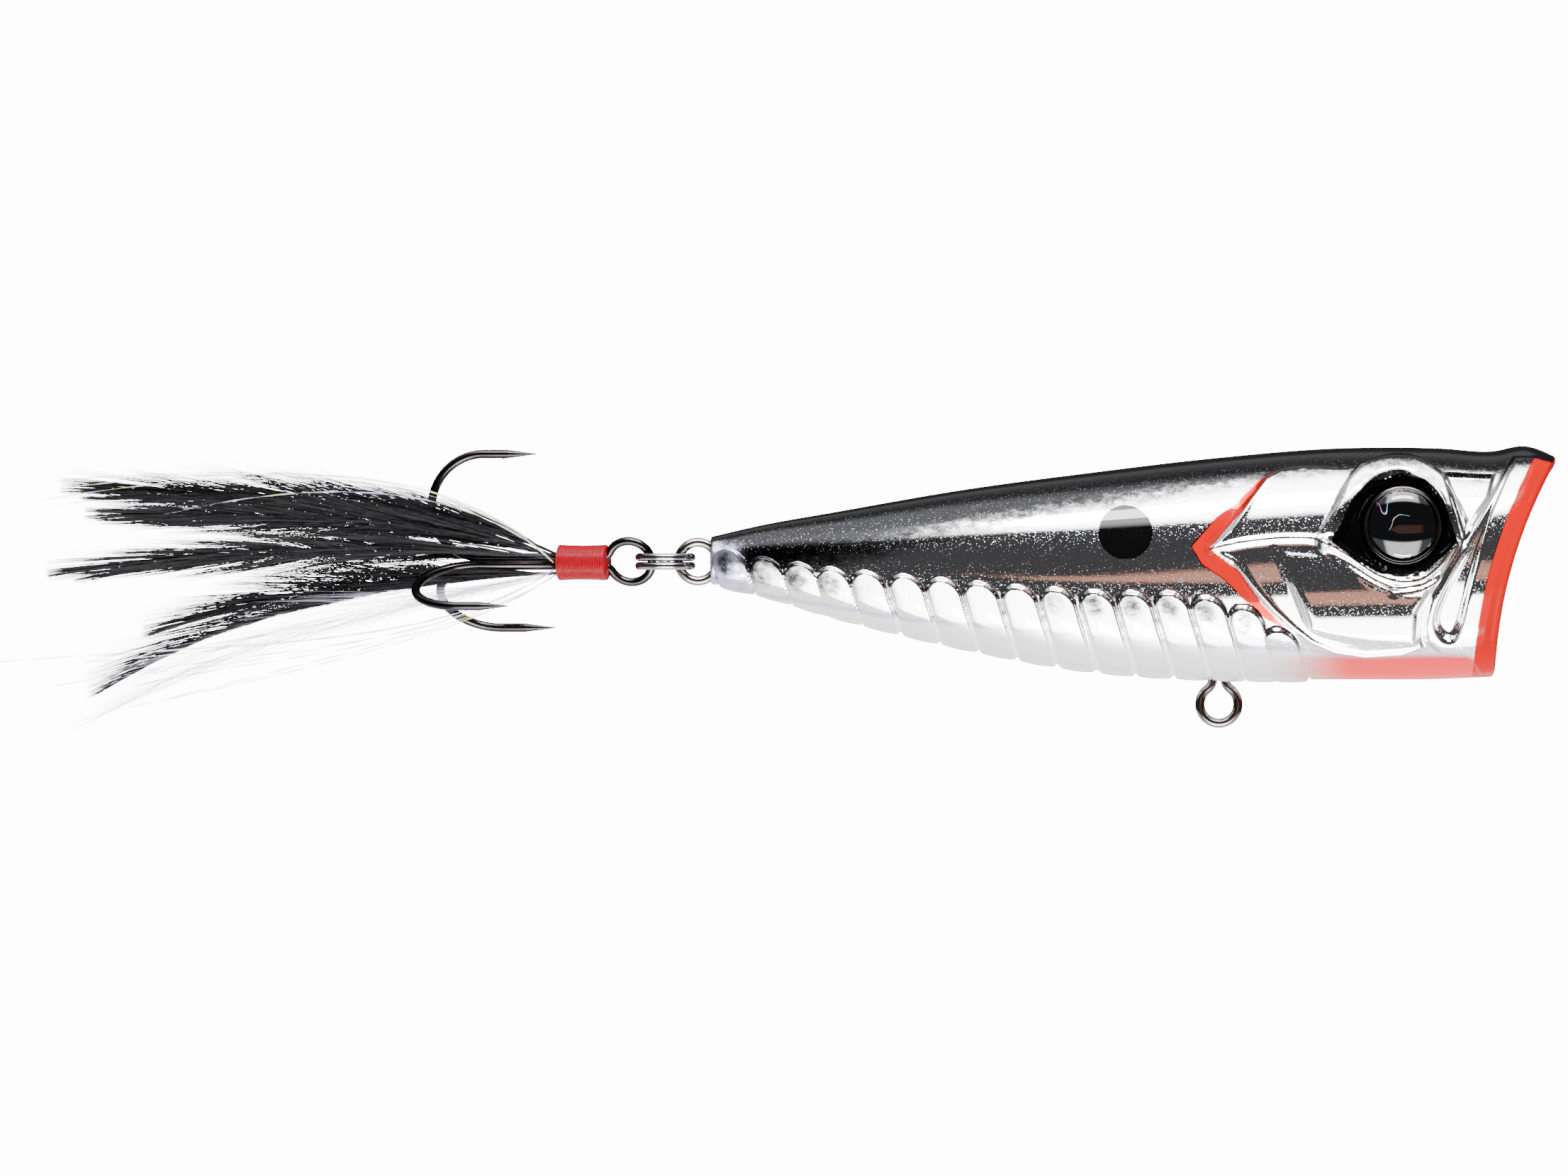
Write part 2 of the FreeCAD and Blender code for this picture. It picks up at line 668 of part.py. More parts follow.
def blade_outline(rise, length, over, under):
    """Quill under the thread, bare quill past the hook's bends, then the blade to its tip."""
    half = size("quill_width") / 2
    wrap_end = size("wrap_start") + size("wrap_length")
    bare = size("hook_shank") + size("hook_bend") + size("hook_wire") / 2 + size("blade_gap") - wrap_end
    steps = 10
    top, bottom = [], []
    for step in range(steps + 1):
        share = step / steps
        x = bare + (length - bare) * share
        swell = math.sin(math.pi * share ** 0.8) ** 0.8 if 0 < step < steps else 0.0
        top.append((-x, rise * x + half + over * swell))
        bottom.append((-x, rise * x - half - under * swell))
    root = size("root_length")
    upper = [(root, half), (0.0, half)] + top
    lower = [(root, -half), (0.0, -half)] + bottom
    return upper + lower[::-1]


def tinsel_outline(rise, length, width):
    """A narrow strip from under the thread to its tip, wider past the hook's bends."""
    half = size("quill_width") / 2
    root = size("root_length")
    spread = size("hook_shank") + size("hook_bend") - size("wrap_start") - size("wrap_length")
    upper = [(root, half), (0.0, half), (-spread, rise * spread + half),
             (-length, rise * length + width / 2)]
    return upper + [(x, z - (2 * half if index < 3 else width)) for index, (x, z)
                    in reversed(list(enumerate(upper)))]


def make_dressing():
    """Hackles and flash tinsel, each a flat strip fanned round the shank."""
    for colour, hackles in (("black", BLACK_HACKLES), ("white", WHITE_HACKLES)):
        for number, (degrees, splay, rise, length, over, under) in enumerate(hackles, start=1):
            outline = blade_outline(rise, length, over, under)
            body = closed_pad(f"{colour}_hackle_{number}", outline, "{blade_thick}")
            body.Placement = root_place(degrees, splay, HACKLE_DEPTH)
    for number, (degrees, splay, rise, length, width) in enumerate(TINSELS, start=1):
        body = closed_pad(f"flash_tinsel_{number}", tinsel_outline(rise, length, width), "{tinsel_thick}")
        body.Placement = root_place(degrees, splay, TINSEL_DEPTH)


# ---------------------------------------------------------------- build, test and write

NODES = (["shell_right", "shell_left", "eye_disc_right", "eye_disc_left", "eye_lens_right",
          "eye_lens_left", "ballast_weight", "rattle_ball_front", "rattle_ball_rear", "split_ring",
          "treble_double_wire", "treble_third_hook", "thread_wrap"]
         + list(HANGERS)
         + [f"black_hackle_{number}" for number in range(1, len(BLACK_HACKLES) + 1)]
         + [f"white_hackle_{number}" for number in range(1, len(WHITE_HACKLES) + 1)]
         + [f"flash_tinsel_{number}" for number in range(1, len(TINSELS) + 1)])


def write_nodes():
    """Stop on any failed object, then write each sub-part's solid."""
    doc.recompute()
    for piece in doc.Objects:
        if "Invalid" in piece.State or "Error" in piece.State:
            raise RuntimeError(f"{piece.Label} failed: {piece.State}")
    os.makedirs("parts", exist_ok=True)
    for name in NODES:
        piece = doc.getObject(name)
        piece.Label = name
        shape = piece.Shape
        if shape.isNull() or not shape.isValid() or len(shape.Solids) != 1:
            raise RuntimeError(f"{name} is not one valid solid: {len(shape.Solids)} solids")
        shape.exportStep(f"parts/{name}.step")
        print(name, round(shape.Volume, 2))


make_shells()
make_inner_pieces()
make_split_ring()
make_treble()
make_wrap()
make_dressing()
write_nodes()
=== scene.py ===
"""Topwater popper: the finished look of every piece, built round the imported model.

Sizes are in millimetres until they become coordinates. +X points out of the mouth, +Z to the
back of the fish, and the origin is the centre of the line tie's eye.
"""
import json
import math
import random

import bmesh
import bpy
import numpy as np
from mathutils import Matrix, Vector


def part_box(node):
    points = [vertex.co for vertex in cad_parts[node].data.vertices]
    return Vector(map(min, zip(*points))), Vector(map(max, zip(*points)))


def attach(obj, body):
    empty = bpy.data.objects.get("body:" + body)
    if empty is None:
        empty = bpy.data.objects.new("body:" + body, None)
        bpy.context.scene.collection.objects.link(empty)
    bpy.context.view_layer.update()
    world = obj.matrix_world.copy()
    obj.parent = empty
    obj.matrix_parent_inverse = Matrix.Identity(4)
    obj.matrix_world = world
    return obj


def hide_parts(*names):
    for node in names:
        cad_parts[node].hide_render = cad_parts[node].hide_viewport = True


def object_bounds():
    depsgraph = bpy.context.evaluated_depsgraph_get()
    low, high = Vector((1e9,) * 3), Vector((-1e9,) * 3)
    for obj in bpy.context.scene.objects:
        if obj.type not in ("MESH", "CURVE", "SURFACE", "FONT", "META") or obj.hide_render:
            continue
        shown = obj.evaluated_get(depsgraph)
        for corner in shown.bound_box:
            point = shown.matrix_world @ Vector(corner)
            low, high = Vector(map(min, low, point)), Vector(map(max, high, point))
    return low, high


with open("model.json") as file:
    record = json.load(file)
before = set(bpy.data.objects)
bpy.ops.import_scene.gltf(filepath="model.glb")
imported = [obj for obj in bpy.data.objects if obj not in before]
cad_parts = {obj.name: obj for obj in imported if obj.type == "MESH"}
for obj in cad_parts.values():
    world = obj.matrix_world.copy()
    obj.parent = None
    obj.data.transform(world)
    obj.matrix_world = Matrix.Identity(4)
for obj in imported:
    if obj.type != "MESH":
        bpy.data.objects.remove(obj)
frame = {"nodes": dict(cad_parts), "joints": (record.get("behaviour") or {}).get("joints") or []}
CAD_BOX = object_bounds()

MM = 0.001


def box_mm(node):
    """Lowest and highest corner of a CAD node, in millimetres."""
    low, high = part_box(node)
    return Vector(low) / MM, Vector(high) / MM


TAIL_X, LIP_X = box_mm("shell_right")[0].x, 5.3
BODY_LENGTH, BODY_HEIGHT, BODY_WIDTH = LIP_X - TAIL_X, 19.6, 16.6
UPPER_LIP, LOWER_LIP = Vector((LIP_X, 0, 7.1)), Vector((0.2, 0, -10.8))
MOUTH_SAG, CUP_DEPTH, LIP_WALL = 1.15, 5.4, 1.1
EYE_X, EYE_Z, EYE_RADIUS = -7.1, 1.72, 3.3
SECTION_POWER = 2.2             # of the rounded, slightly square section of the body

# Hull stations: share of the length, back, belly (shares of the height), half width (of the width).
STATIONS = np.array([
    (0.00, 0.042, -0.160, 0.125),
    (0.05, 0.084, -0.196, 0.160),
    (0.15, 0.149, -0.301, 0.240),
    (0.30, 0.242, -0.432, 0.335),
    (0.45, 0.314, -0.528, 0.412),
    (0.60, 0.377, -0.564, 0.465),
    (0.75, 0.419, -0.566, 0.490),
    (0.87, 0.418, -0.564, 0.495),
    (0.93, 0.406, -0.555, 0.500),
    (0.97, 0.428, -0.552, 0.510),
    (1.02, 0.360, -0.552, 0.505),
])


# ---------------------------------------------------------------- small helpers

def linear(hex_colour):
    """An sRGB hex colour as linear RGBA."""
    def channel(value):
        value /= 255
        return value / 12.92 if value <= 0.04045 else ((value + 0.055) / 1.055) ** 2.4
    text = hex_colour.lstrip("#")
    return tuple(channel(int(text[i:i + 2], 16)) for i in (0, 2, 4)) + (1.0,)


def add_node(tree, kind, *values, named=None, stops=(), give=0, **settings):
    """Adds one shader node with its settings and links. Values go to its live inputs in order, and
    named ones by name: a socket is linked, anything else is set. Stops are a ramp's (place, colour)
    pairs. Gives back one output, by place or name, or with give=None all of them."""
    node = tree.nodes.new("ShaderNode" + kind)
    for name, value in settings.items():
        setattr(node, name, value)
    live = [socket for socket in node.inputs if socket.enabled]
    chosen = [(node.inputs[name], value) for name, value in (named or {}).items()]
    for socket, value in list(zip(live, values)) + chosen:
        if isinstance(value, bpy.types.NodeSocket):
            tree.links.new(value, socket)
        else:
            socket.default_value = value
    if stops:
        elements = node.color_ramp.elements
        while len(elements) < len(stops):
            elements.new(0.5)
        for element, (place, colour) in zip(elements, stops):
            element.position, element.color = place, colour
    if give is None:
        return node.outputs
    outputs = [socket for socket in node.outputs if socket.enabled] if give == 0 else node.outputs
    return outputs[give]


def new_material(name):
    """An empty node material: its tree and its shader."""
    material = bpy.data.materials.new(name)
    material.use_nodes = True
    return material, material.node_tree, material.node_tree.nodes["Principled BSDF"]


def set_shader(shader, **values):
    """Constant values on the shader's own sockets."""
    for name, value in values.items():
        shader.inputs[name.replace("_", " ")].default_value = value


def new_piece(name, bm, material, body, node):
    """A finished piece from a bmesh in millimetres, riding on a body and standing for a CAD node."""
    bmesh.ops.scale(bm, vec=(MM, MM, MM), verts=bm.verts)
    mesh = bpy.data.meshes.new(name)
    bm.to_mesh(mesh)
    bm.free()
    mesh.polygons.foreach_set("use_smooth", [True] * len(mesh.polygons))
    piece = bpy.data.objects.new(name, mesh)
    bpy.context.scene.collection.objects.link(piece)
    mesh.materials.append(material)
    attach(piece, body)
    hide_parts(node)
    return piece


def smoothstep(low, high, value):
    """0 at low and 1 at high with soft ends; low may be the larger of the two."""
    share = np.clip((value - low) / (high - low), 0.0, 1.0)
    return share * share * (3 - 2 * share)


# ---------------------------------------------------------------- hull surface

def station_curve(column, share):
    """A smooth curve through one column of the stations."""
    xs, ys = STATIONS[:, 0], STATIONS[:, column]
    slope = np.gradient(ys, xs)
    index = np.clip(np.searchsorted(xs, share) - 1, 0, len(xs) - 2)
    step = xs[index + 1] - xs[index]
    part = (share - xs[index]) / step
    return ((2 * part ** 3 - 3 * part ** 2 + 1) * ys[index]
            + (part ** 3 - 2 * part ** 2 + part) * step * slope[index]
            + (3 * part ** 2 - 2 * part ** 3) * ys[index + 1]
            + (part ** 3 - part ** 2) * step * slope[index + 1])


def hull_at(x):
    """Back, belly and half width of the hull at x, in millimetres."""
    share = np.clip((x - TAIL_X) / BODY_LENGTH, 0.0, 1.02)
    return (station_curve(1, share) * BODY_HEIGHT, station_curve(2, share) * BODY_HEIGHT,
            station_curve(3, share) * BODY_WIDTH)


MOUTH_CHORD = UPPER_LIP - LOWER_LIP
MOUTH_MIDDLE = (UPPER_LIP + LOWER_LIP) / 2
MOUTH_FACING = Vector((MOUTH_CHORD.z, 0, -MOUTH_CHORD.x)).normalized()
MOUTH_RADIUS = ((MOUTH_CHORD.length / 2) ** 2 + MOUTH_SAG ** 2) / (2 * MOUTH_SAG)
MOUTH_AXIS = MOUTH_MIDDLE + MOUTH_FACING * (MOUTH_RADIUS - MOUTH_SAG)


def mouth_x(z):
    """The mouth's face, a hollow arc seen from the side."""
    return MOUTH_AXIS.x - np.sqrt(MOUTH_RADIUS ** 2 - (z - MOUTH_AXIS.z) ** 2)


def line_distance(x, z, points):
    """Distance in side view to a line through points."""
    best = np.full_like(x, 1e9)
    for (ax, az), (bx, bz) in zip(points, points[1:]):
        dx, dz = bx - ax, bz - az
        part = np.clip(((x - ax) * dx + (z - az) * dz) / max(dx * dx + dz * dz, 1e-9), 0, 1)
        best = np.minimum(best, np.hypot(x - ax - part * dx, z - az - part * dz))
    return best


def inward(x, z, outline):
    """Depth inside a closed outline in side view, negative outside it."""
    inside = np.zeros(x.shape, dtype=bool)
    for (ax, az), (bx, bz) in zip(outline, outline[1:] + outline[:1]):
        if az == bz:
            continue
        crosses = ((az > z) != (bz > z)) & (x < (bx - ax) * (z - az) / (bz - az) + ax)
        inside ^= crosses
    distance = line_distance(x, z, outline + outline[:1])
    return np.where(inside, distance, -distance)


def rounded(points, passes=2):
    """A line with its corners cut twice, for soft curves through few points."""
    for _ in range(passes):
        fine = [points[0]]
        for (ax, az), (bx, bz) in zip(points, points[1:]):
            fine += [(0.75 * ax + 0.25 * bx, 0.75 * az + 0.25 * bz),
                     (0.25 * ax + 0.75 * bx, 0.25 * az + 0.75 * bz)]
        points = fine + [points[-1]]
    return points


# Lines of the head's relief in side view, (x, z).
GILL_UPPER = [(-23.3, -0.3), (-21.5, 1.4), (-19.8, 3.85), (-18.5, 5.5), (-17.3, 6.15), (-15.4, 6.4),
              (-12.6, 6.3)]
GILL_LOWER = [(-23.3, -0.3), (-21.2, -1.4), (-19.6, -3.5), (-17.9, -5.4), (-16.2, -6.9), (-14.7, -8.0),
              (-12.8, -8.8), (-10.2, -9.2), (-7.2, -9.0), (-5.4, -8.4)]
CHEEK_RIDGE = [(-23.3, -0.3), (-20.4, 0.36), (-17.6, 0.64), (-15.1, 0.68), (-14.0, 0.5), (-13.6, 0.1)]
CHEEK_CREASE = [(-17.9, -0.1), (-16.6, -2.76), (-15.7, -5.0), (-15.0, -6.8), (-12.8, -7.4), (-10.0, -7.85),
                (-5.8, -8.1)]
BROW = [(-13.4, 0.4), (-12.2, 2.3), (-11.2, 4.4), (-9.7, 6.2), (-7.5, 6.85), (-5.5, 6.35), (-4.1, 4.7),
        (-3.1, 2.9), (-2.5, 1.6)]
LOWER_LID = [(-13.2, 0.0), (-11.4, -0.9), (-9.4, -2.4), (-7.3, -3.05), (-5.3, -2.75), (-3.8, -1.5),
             (-2.9, 0.0)]
SOCKET = [(-13.0, 0.4), (-11.3, 3.4), (-9.8, 4.9), (-7.36, 5.7), (-5.3, 4.95), (-3.8, 3.4), (-2.6, 0.3),
          (-3.8, -0.75), (-5.3, -2.0), (-7.2, -2.45), (-9.06, -2.1), (-10.95, -1.1)]
TRIANGLE = [(-3.7, 6.3), (0.6, 6.1), (0.1, 4.2), (-0.9, 2.7), (-1.9, 0.9), (-2.6, 3.2)]
FLARE_GROOVE = [(1.9, 6.6), (0.9, 4.6), (-0.4, 2.4), (-2.4, -1.2), (-4.1, -4.3), (-4.7, -6.4), (-3.9, -7.8),
                (-2.8, -8.0), (-2.1, -6.4), (-1.6, -4.0), (-0.8, -1.2), (0.0, 1.9), (1.2, 4.7), (2.3, 6.8)]
FLARE_EDGE = [(2.1, 7.6), (1.0, 5.7), (-0.5, 3.1), (-2.1, 0.2), (-3.5, -1.9), (-5.0, -4.0), (-5.6, -6.4),
              (-5.3, -8.0), (-3.8, -9.1), (-1.7, -9.2), (-0.6, -10.8)]
GILL_RED = [(-24.7, 0.0), (-22.6, 2.4), (-20.9, 3.7), (-19.2, 5.4), (-17.6, 6.2), (-18.4, 5.5), (-20.1, 3.3),
            (-21.3, 2.1), (-23.3, -0.2), (-22.0, -1.2), (-20.8, -2.1), (-19.0, -4.6), (-16.8, -6.9),
            (-18.6, -6.0), (-20.3, -4.4), (-22.1, -2.6), (-23.8, -1.5)]
CHEEK = GILL_UPPER + [(-9.0, 6.9), (-6.0, 6.9), (-3.6, 5.6), (-2.0, 0.6), (-4.4, -3.4), (-5.5, -5.4),
                      (-5.6, -7.3)] + GILL_LOWER[::-1]
LOWER_CHEEK = CHEEK_RIDGE + [(-13.2, 0.0)] + LOWER_LID[1:] + [(-5.5, -5.4)] + GILL_LOWER[::-1]
CHEEK_HOLLOW = CHEEK_CREASE + [(-5.6, -5.4), (-3.8, -2.4), (-7.8, -3.4), (-13.2, -0.4)]
FLARE = FLARE_EDGE + [(9.0, -10.8), (9.0, 7.6)]
KNOB = (-13.65, 0.1)            # where the ridge, the brow and the lid meet
SPOT = (-30.2, 1.2, 2.2)        # centre and radius of the flank's dark spot

# Heights of the head's relief over the plain hull, and half widths of its rounded lines.
CHEEK_PROUD, LOWER_CHEEK_SUNK, HOLLOW_PROUD, HOLLOW_SLOPE = 0.34, 0.2, 0.2, 0.17
RIDGES = [(GILL_UPPER, 0.28, 0.16), (GILL_LOWER, 0.3, 0.14), (CHEEK_RIDGE, 0.22, 0.2),
          (CHEEK_CREASE, 0.2, 0.12)]
BROW_PROUD, BROW_HALF = 0.62, 1.05
LID_PROUD, LID_HALF = 0.34, 0.34
FOLD_PROUD, FOLD_HALF, FOLD_OFF = 0.16, 0.2, 0.75
KNOB_PROUD, SOCKET_SUNK, TRIANGLE_SUNK, FLARE_PROUD = 0.3, 0.6, 0.4, 0.42
EYE_SEAT_SUNK, EYE_SEAT_GAP = 1.35, 0.25
EYE_RIM_PROUD, EYE_RIM_HALF, EYE_RIM_OFF = 0.22, 0.16, 0.45
HEAD_START = -26.0

# Tops of the ribs from the tail to the chin, (x, z).
RIB_TOPS = [(-63.1, -0.2), (-60.1, -0.85), (-57.2, -1.3), (-54.5, -1.7), (-51.6, -2.0), (-48.4, -2.3),
            (-45.3, -2.6), (-42.2, -2.9), (-39.0, -3.2), (-35.8, -3.4), (-32.5, -3.6), (-29.4, -3.7),
            (-26.3, -3.7), (-23.2, -4.1), (-20.1, -4.9), (-17.2, -6.7)]
RIB_HALF, RIB_LEAN = 1.46, 0.30
RIB_PROUD, RIB_CROWN, RIB_LEAST = 0.46, 0.12, 0.06
RIB_EDGE, GROOVE_DEPTH = 0.16, 0.34


def rib_relief(x, z):
    """Leaning ribs along the lower flank: each starts proud under a round arch, slopes in towards
    the belly, and is parted from the next by a narrow groove. Gives the height, the depth inside a
    rib's outline, the share of rib and groove, and a painted dark reflection under the arch."""
    height, edge = np.zeros_like(x), np.full_like(x, -1.0)
    below, painted_reflection = np.zeros_like(x), np.zeros_like(x)
    for top_x, top_z in RIB_TOPS:
        down = top_z - z
        across = x - top_x - RIB_LEAN * (np.maximum(down, 0.0) - RIB_HALF)
        inside = RIB_HALF - np.hypot(across, np.minimum(down - RIB_HALF, 0.0))
        crown = RIB_CROWN * (1 - (across / RIB_HALF) ** 2)
        swell = RIB_PROUD * np.exp(-np.maximum(down, 0.0) / 2.0) + RIB_LEAST + crown
        body = smoothstep(0.0, RIB_EDGE, inside)
        grooved = smoothstep(RIB_HALF * 0.8, RIB_HALF * 1.6, down) * (np.abs(across) < RIB_HALF + RIB_EDGE)
        floor = swell - crown - GROOVE_DEPTH * (1 - 0.4 * smoothstep(3.0, 6.0, down))
        near = inside > edge
        height = np.where(near, body * swell + (1 - body) * grooved * floor, height)
        below = np.where(near, np.maximum(body, grooved), below)
        # Painted dark reflection under the arches of the front half and the last few ribs, but not under the
        # head.
        reflects_dark = max(smoothstep(-38.0, -34.0, top_x), smoothstep(-50.0, -56.0, top_x)) * (top_x < -20.0)
        spread = np.hypot(across + 0.3, (down - 1.2) * 0.85)
        painted_reflection = np.maximum(painted_reflection, reflects_dark * smoothstep(1.15, 0.3, spread) * (inside > 0.1))
        edge = np.maximum(edge, inside)
    return height, edge, below, painted_reflection


def head_relief(x, z):
    """Gill plate, cheek, brow, lids, socket, triangle and flare of the head."""
    height = CHEEK_PROUD * smoothstep(-0.02, 0.2, inward(x, z, CHEEK))
    lower = inward(x, z, LOWER_CHEEK)
    height -= LOWER_CHEEK_SUNK * smoothstep(0.0, 0.5, lower)
    hollow = inward(x, z, CHEEK_HOLLOW)
    height += HOLLOW_PROUD * smoothstep(0.0, 0.9, hollow) * smoothstep(0.0, 0.6, lower)
    height += HOLLOW_SLOPE * np.clip(-1.2 - z, 0.0, 5.5) * smoothstep(0.0, 0.4, hollow)
    for line, wide, high in RIDGES:
        height += high * np.exp(-(line_distance(x, z, rounded(line)) / wide) ** 2)
    brow = line_distance(x, z, rounded(BROW))
    height += BROW_PROUD * np.sqrt(np.clip(1 - (brow / BROW_HALF) ** 2, 0, 1)) * (
        0.3 + 0.7 * smoothstep(0.4, 4.6, z))
    lid = line_distance(x, z, rounded(LOWER_LID))
    height += (LID_PROUD * np.exp(-(lid / LID_HALF) ** 2)
               + FOLD_PROUD * np.exp(-((lid - FOLD_OFF) / FOLD_HALF) ** 2))
    height += KNOB_PROUD * smoothstep(0.6, 0.25, np.hypot(x - KNOB[0], z - KNOB[1]))
    sunk = smoothstep(0.0, 0.3, inward(x, z, SOCKET))
    height = height * (1 - sunk) - SOCKET_SUNK * sunk
    eye = np.hypot(x - EYE_X, z - EYE_Z)
    height = np.where(eye < EYE_RADIUS + EYE_SEAT_GAP, -EYE_SEAT_SUNK, height)
    height += EYE_RIM_PROUD * np.exp(-((eye - EYE_RADIUS - EYE_RIM_OFF) / EYE_RIM_HALF) ** 2)
    height -= TRIANGLE_SUNK * smoothstep(-0.1, 0.35, inward(x, z, TRIANGLE))
    height += FLARE_PROUD * smoothstep(-0.1, 0.6, inward(x, z, FLARE)) * smoothstep(9.0, 6.5, z)
    groove = smoothstep(-0.1, 0.5, inward(x, z, rounded(FLARE_GROOVE)))
    height -= groove * (0.4 + 0.6 * smoothstep(4.0, -7.5, z))
    return height


def open_flank(x, z):
    """Share of the flank behind and below the gill plate, where the ribs can be seen."""
    return (1 - smoothstep(-0.4, 0.1, inward(x, z, CHEEK))) * smoothstep(-2.0, -6.0, x)


def relief(x, z):
    """Height of the moulded detail over the plain hull."""
    head = np.where(x > HEAD_START, head_relief(x, z), 0.0)
    return rib_relief(x, z)[0] * open_flank(x, z) + head * smoothstep(0.2, 1.2, hull_at(x)[0] - z)


def paint_masks(x, z):
    """Shares of paint on the flank: red, black and pearl; then throat, charcoal with painted shade and painted
    dark reflection, and a painted highlight in the grooves.
    """
    # Red on the gill's edge, thin at its two ends, and round the mouth.
    gill = smoothstep(-0.1, 0.1, inward(x, z, GILL_RED))
    gill *= 0.45 + 0.55 * smoothstep(3.3, 2.9, z) * smoothstep(-4.75, -4.45, z)
    lip = smoothstep(1.45, 1.3, mouth_x(z) - x) * smoothstep(7.3, 6.7, z)

    # Black in the eye's socket and on the spot.
    socket = smoothstep(-0.12, 0.04, inward(x, z, SOCKET))
    spot = smoothstep(0.08, -0.08, np.hypot(x - SPOT[0], z - SPOT[1]) - SPOT[2])

    # The plating fades out along this line into a pearly belly, and the throat is red.
    fade_line = np.interp(x, [-64, -48.6, -24.0, -17, -12, -5, 1], [-3.2, -5.9, -8.2, -8.3, -9.1, -9.2, -9.6])
    pearl = smoothstep(0.3, -0.3, z - fade_line)
    throat = smoothstep(-20.0, -11.0, x) * smoothstep(-8.7, -9.4, z)

    # Charcoal mist down from the back by this reach, thin over the last of the tail.
    reach = np.interp(x, [-64.7, -58, -50, -40, -30, -20, -8, 5], [5.2, 5.6, 5.2, 4.4, 3.8, 3.2, 3.0, 2.8])
    charcoal_and_shade = smoothstep(1.0, 0.3, (hull_at(x)[0] - z) / reach)
    tail_end = smoothstep(-61.2, -63.0, x) * smoothstep(1.0, -0.4, z)
    charcoal_and_shade *= 1 - 0.85 * tail_end
    pearl = np.maximum(pearl, 0.5 * tail_end)

    # Painted shade round the ribs' outlines and on the brow's inner slope, and a painted dark reflection under
    # the ribs' arches, join the charcoal; the grooves get a painted highlight.
    edge, below, painted_reflection = rib_relief(x, z)[1:]
    flank = open_flank(x, z)
    # Painted highlight: the pearl is whiter in the grooves and near the ribs' edges.
    groove = below * flank * smoothstep(0.30, 0.06, edge)
    # Painted shade: a grey line round each rib's outline on the plated part.
    outline = smoothstep(0.17, 0.05, np.abs(edge)) * (np.abs(edge) < 0.2)
    shaded = 0.3 * outline * (below > 0) * smoothstep(-0.6, 0.8, z - fade_line)
    # The painted dark reflection and the painted shade go in with the charcoal.
    charcoal_and_shade = np.maximum(charcoal_and_shade, np.maximum(0.5 * painted_reflection, shaded) * flank)
    # Painted shade on the brow's inner slope, darker towards the socket.
    brow = smoothstep(1.5, 0.1, -inward(x, z, SOCKET)) * smoothstep(1.2, 2.6, z) * (x > -13.0) * (x < -2.0)
    charcoal_and_shade = np.maximum(charcoal_and_shade, 0.26 * brow)
    return {"paint": (np.maximum(gill, lip), np.maximum(socket, spot), pearl),
            "tint_and_light": (throat, charcoal_and_shade, groove)}


# Rows of the hull's grid, from the middle of the tail face to the bottom of the cup.
TAIL_ROWS, FLANK_ROWS, LIP_ROWS, CUP_ROWS = 6, 530, 8, 24
LIP_START, CUP_START = TAIL_ROWS + FLANK_ROWS, TAIL_ROWS + FLANK_ROWS + LIP_ROWS
ROUND_COLUMNS = 164
ROW_SLACK = 1e-6
TAIL_DOME, LIP_ROLL = 0.12, 0.3     # bulge of the tail face, and of the lip past its rim
CUP_PAINT = (1.0, 0.0, 0.0)         # the cup is red all over


def flank_places(row, angle):
    """Places on the tail face and the moulded flank, with the shares of paint there."""
    out, up = np.maximum(np.sin(angle), 0.0), np.cos(angle)
    bend = 2 / SECTION_POWER
    ring_y, ring_z = out ** bend, np.sign(up) * np.abs(up) ** bend
    normal_y, normal_z = out ** (2 - bend), np.sign(up) * np.abs(up) ** (2 - bend)

    along = np.clip((row - TAIL_ROWS) / FLANK_ROWS, 0.0, 1.0)
    nose = np.full_like(row, LIP_X)
    for _ in range(12):             # settles where the hull meets the mouth's face
        back, belly = hull_at(nose)[:2]
        nose = 0.5 * nose + 0.5 * mouth_x((back + belly) / 2 + (back - belly) / 2 * ring_z)
    x = TAIL_X + (nose - TAIL_X) * along
    back, belly, half = hull_at(x)
    middle, rise = (back + belly) / 2, (back - belly) / 2
    y, z = half * ring_y, middle + rise * ring_z

    # The relief starts at the tail face and calms down at the rim.
    height = relief(x, z) * smoothstep(0.0, 0.02, along) * (0.4 + 0.6 * smoothstep(1.0, 0.985, along))
    masks = paint_masks(x, z)
    slant_y, slant_z = normal_y / half, normal_z / rise
    length = np.hypot(slant_y, slant_z)
    y, z = y + height * slant_y / length, z + height * slant_z / length

    inner = np.clip(row / TAIL_ROWS, 0.0, 1.0)
    tail = row < TAIL_ROWS
    x = np.where(tail, x - TAIL_DOME * np.sqrt(np.clip(1 - inner ** 4, 0, 1)), x)
    y = np.where(tail, y * inner, y)
    z = np.where(tail, middle + (z - middle) * inner, z)
    return np.stack([x, y, z], axis=1), masks


def mouth_places(row, rim):
    """Places past the rim, which rolls inwards as the lip and runs on to the bottom of the cup."""
    centre, facing = np.array(MOUTH_MIDDLE), np.array(MOUTH_FACING)
    reach = np.linalg.norm(rim - centre, axis=1)[:, None]
    inner_rim = centre + (rim - centre) * (1 - LIP_WALL / np.maximum(reach, 1.0))
    lip = np.clip((row - LIP_START) / LIP_ROWS, 0.0, 1.0)[:, None] * math.pi
    rolled = (rim + inner_rim) / 2 + (rim - inner_rim) / 2 * np.cos(lip) + facing * LIP_ROLL * np.sin(lip)
    cup = np.clip((row - CUP_START) / CUP_ROWS, 0.0, 1.0)[:, None] * math.pi / 2
    cupped = centre + (inner_rim - centre) * np.cos(cup) - facing * CUP_DEPTH * np.sin(cup)
    return np.where((row >= CUP_START - ROW_SLACK)[:, None], cupped, rolled)


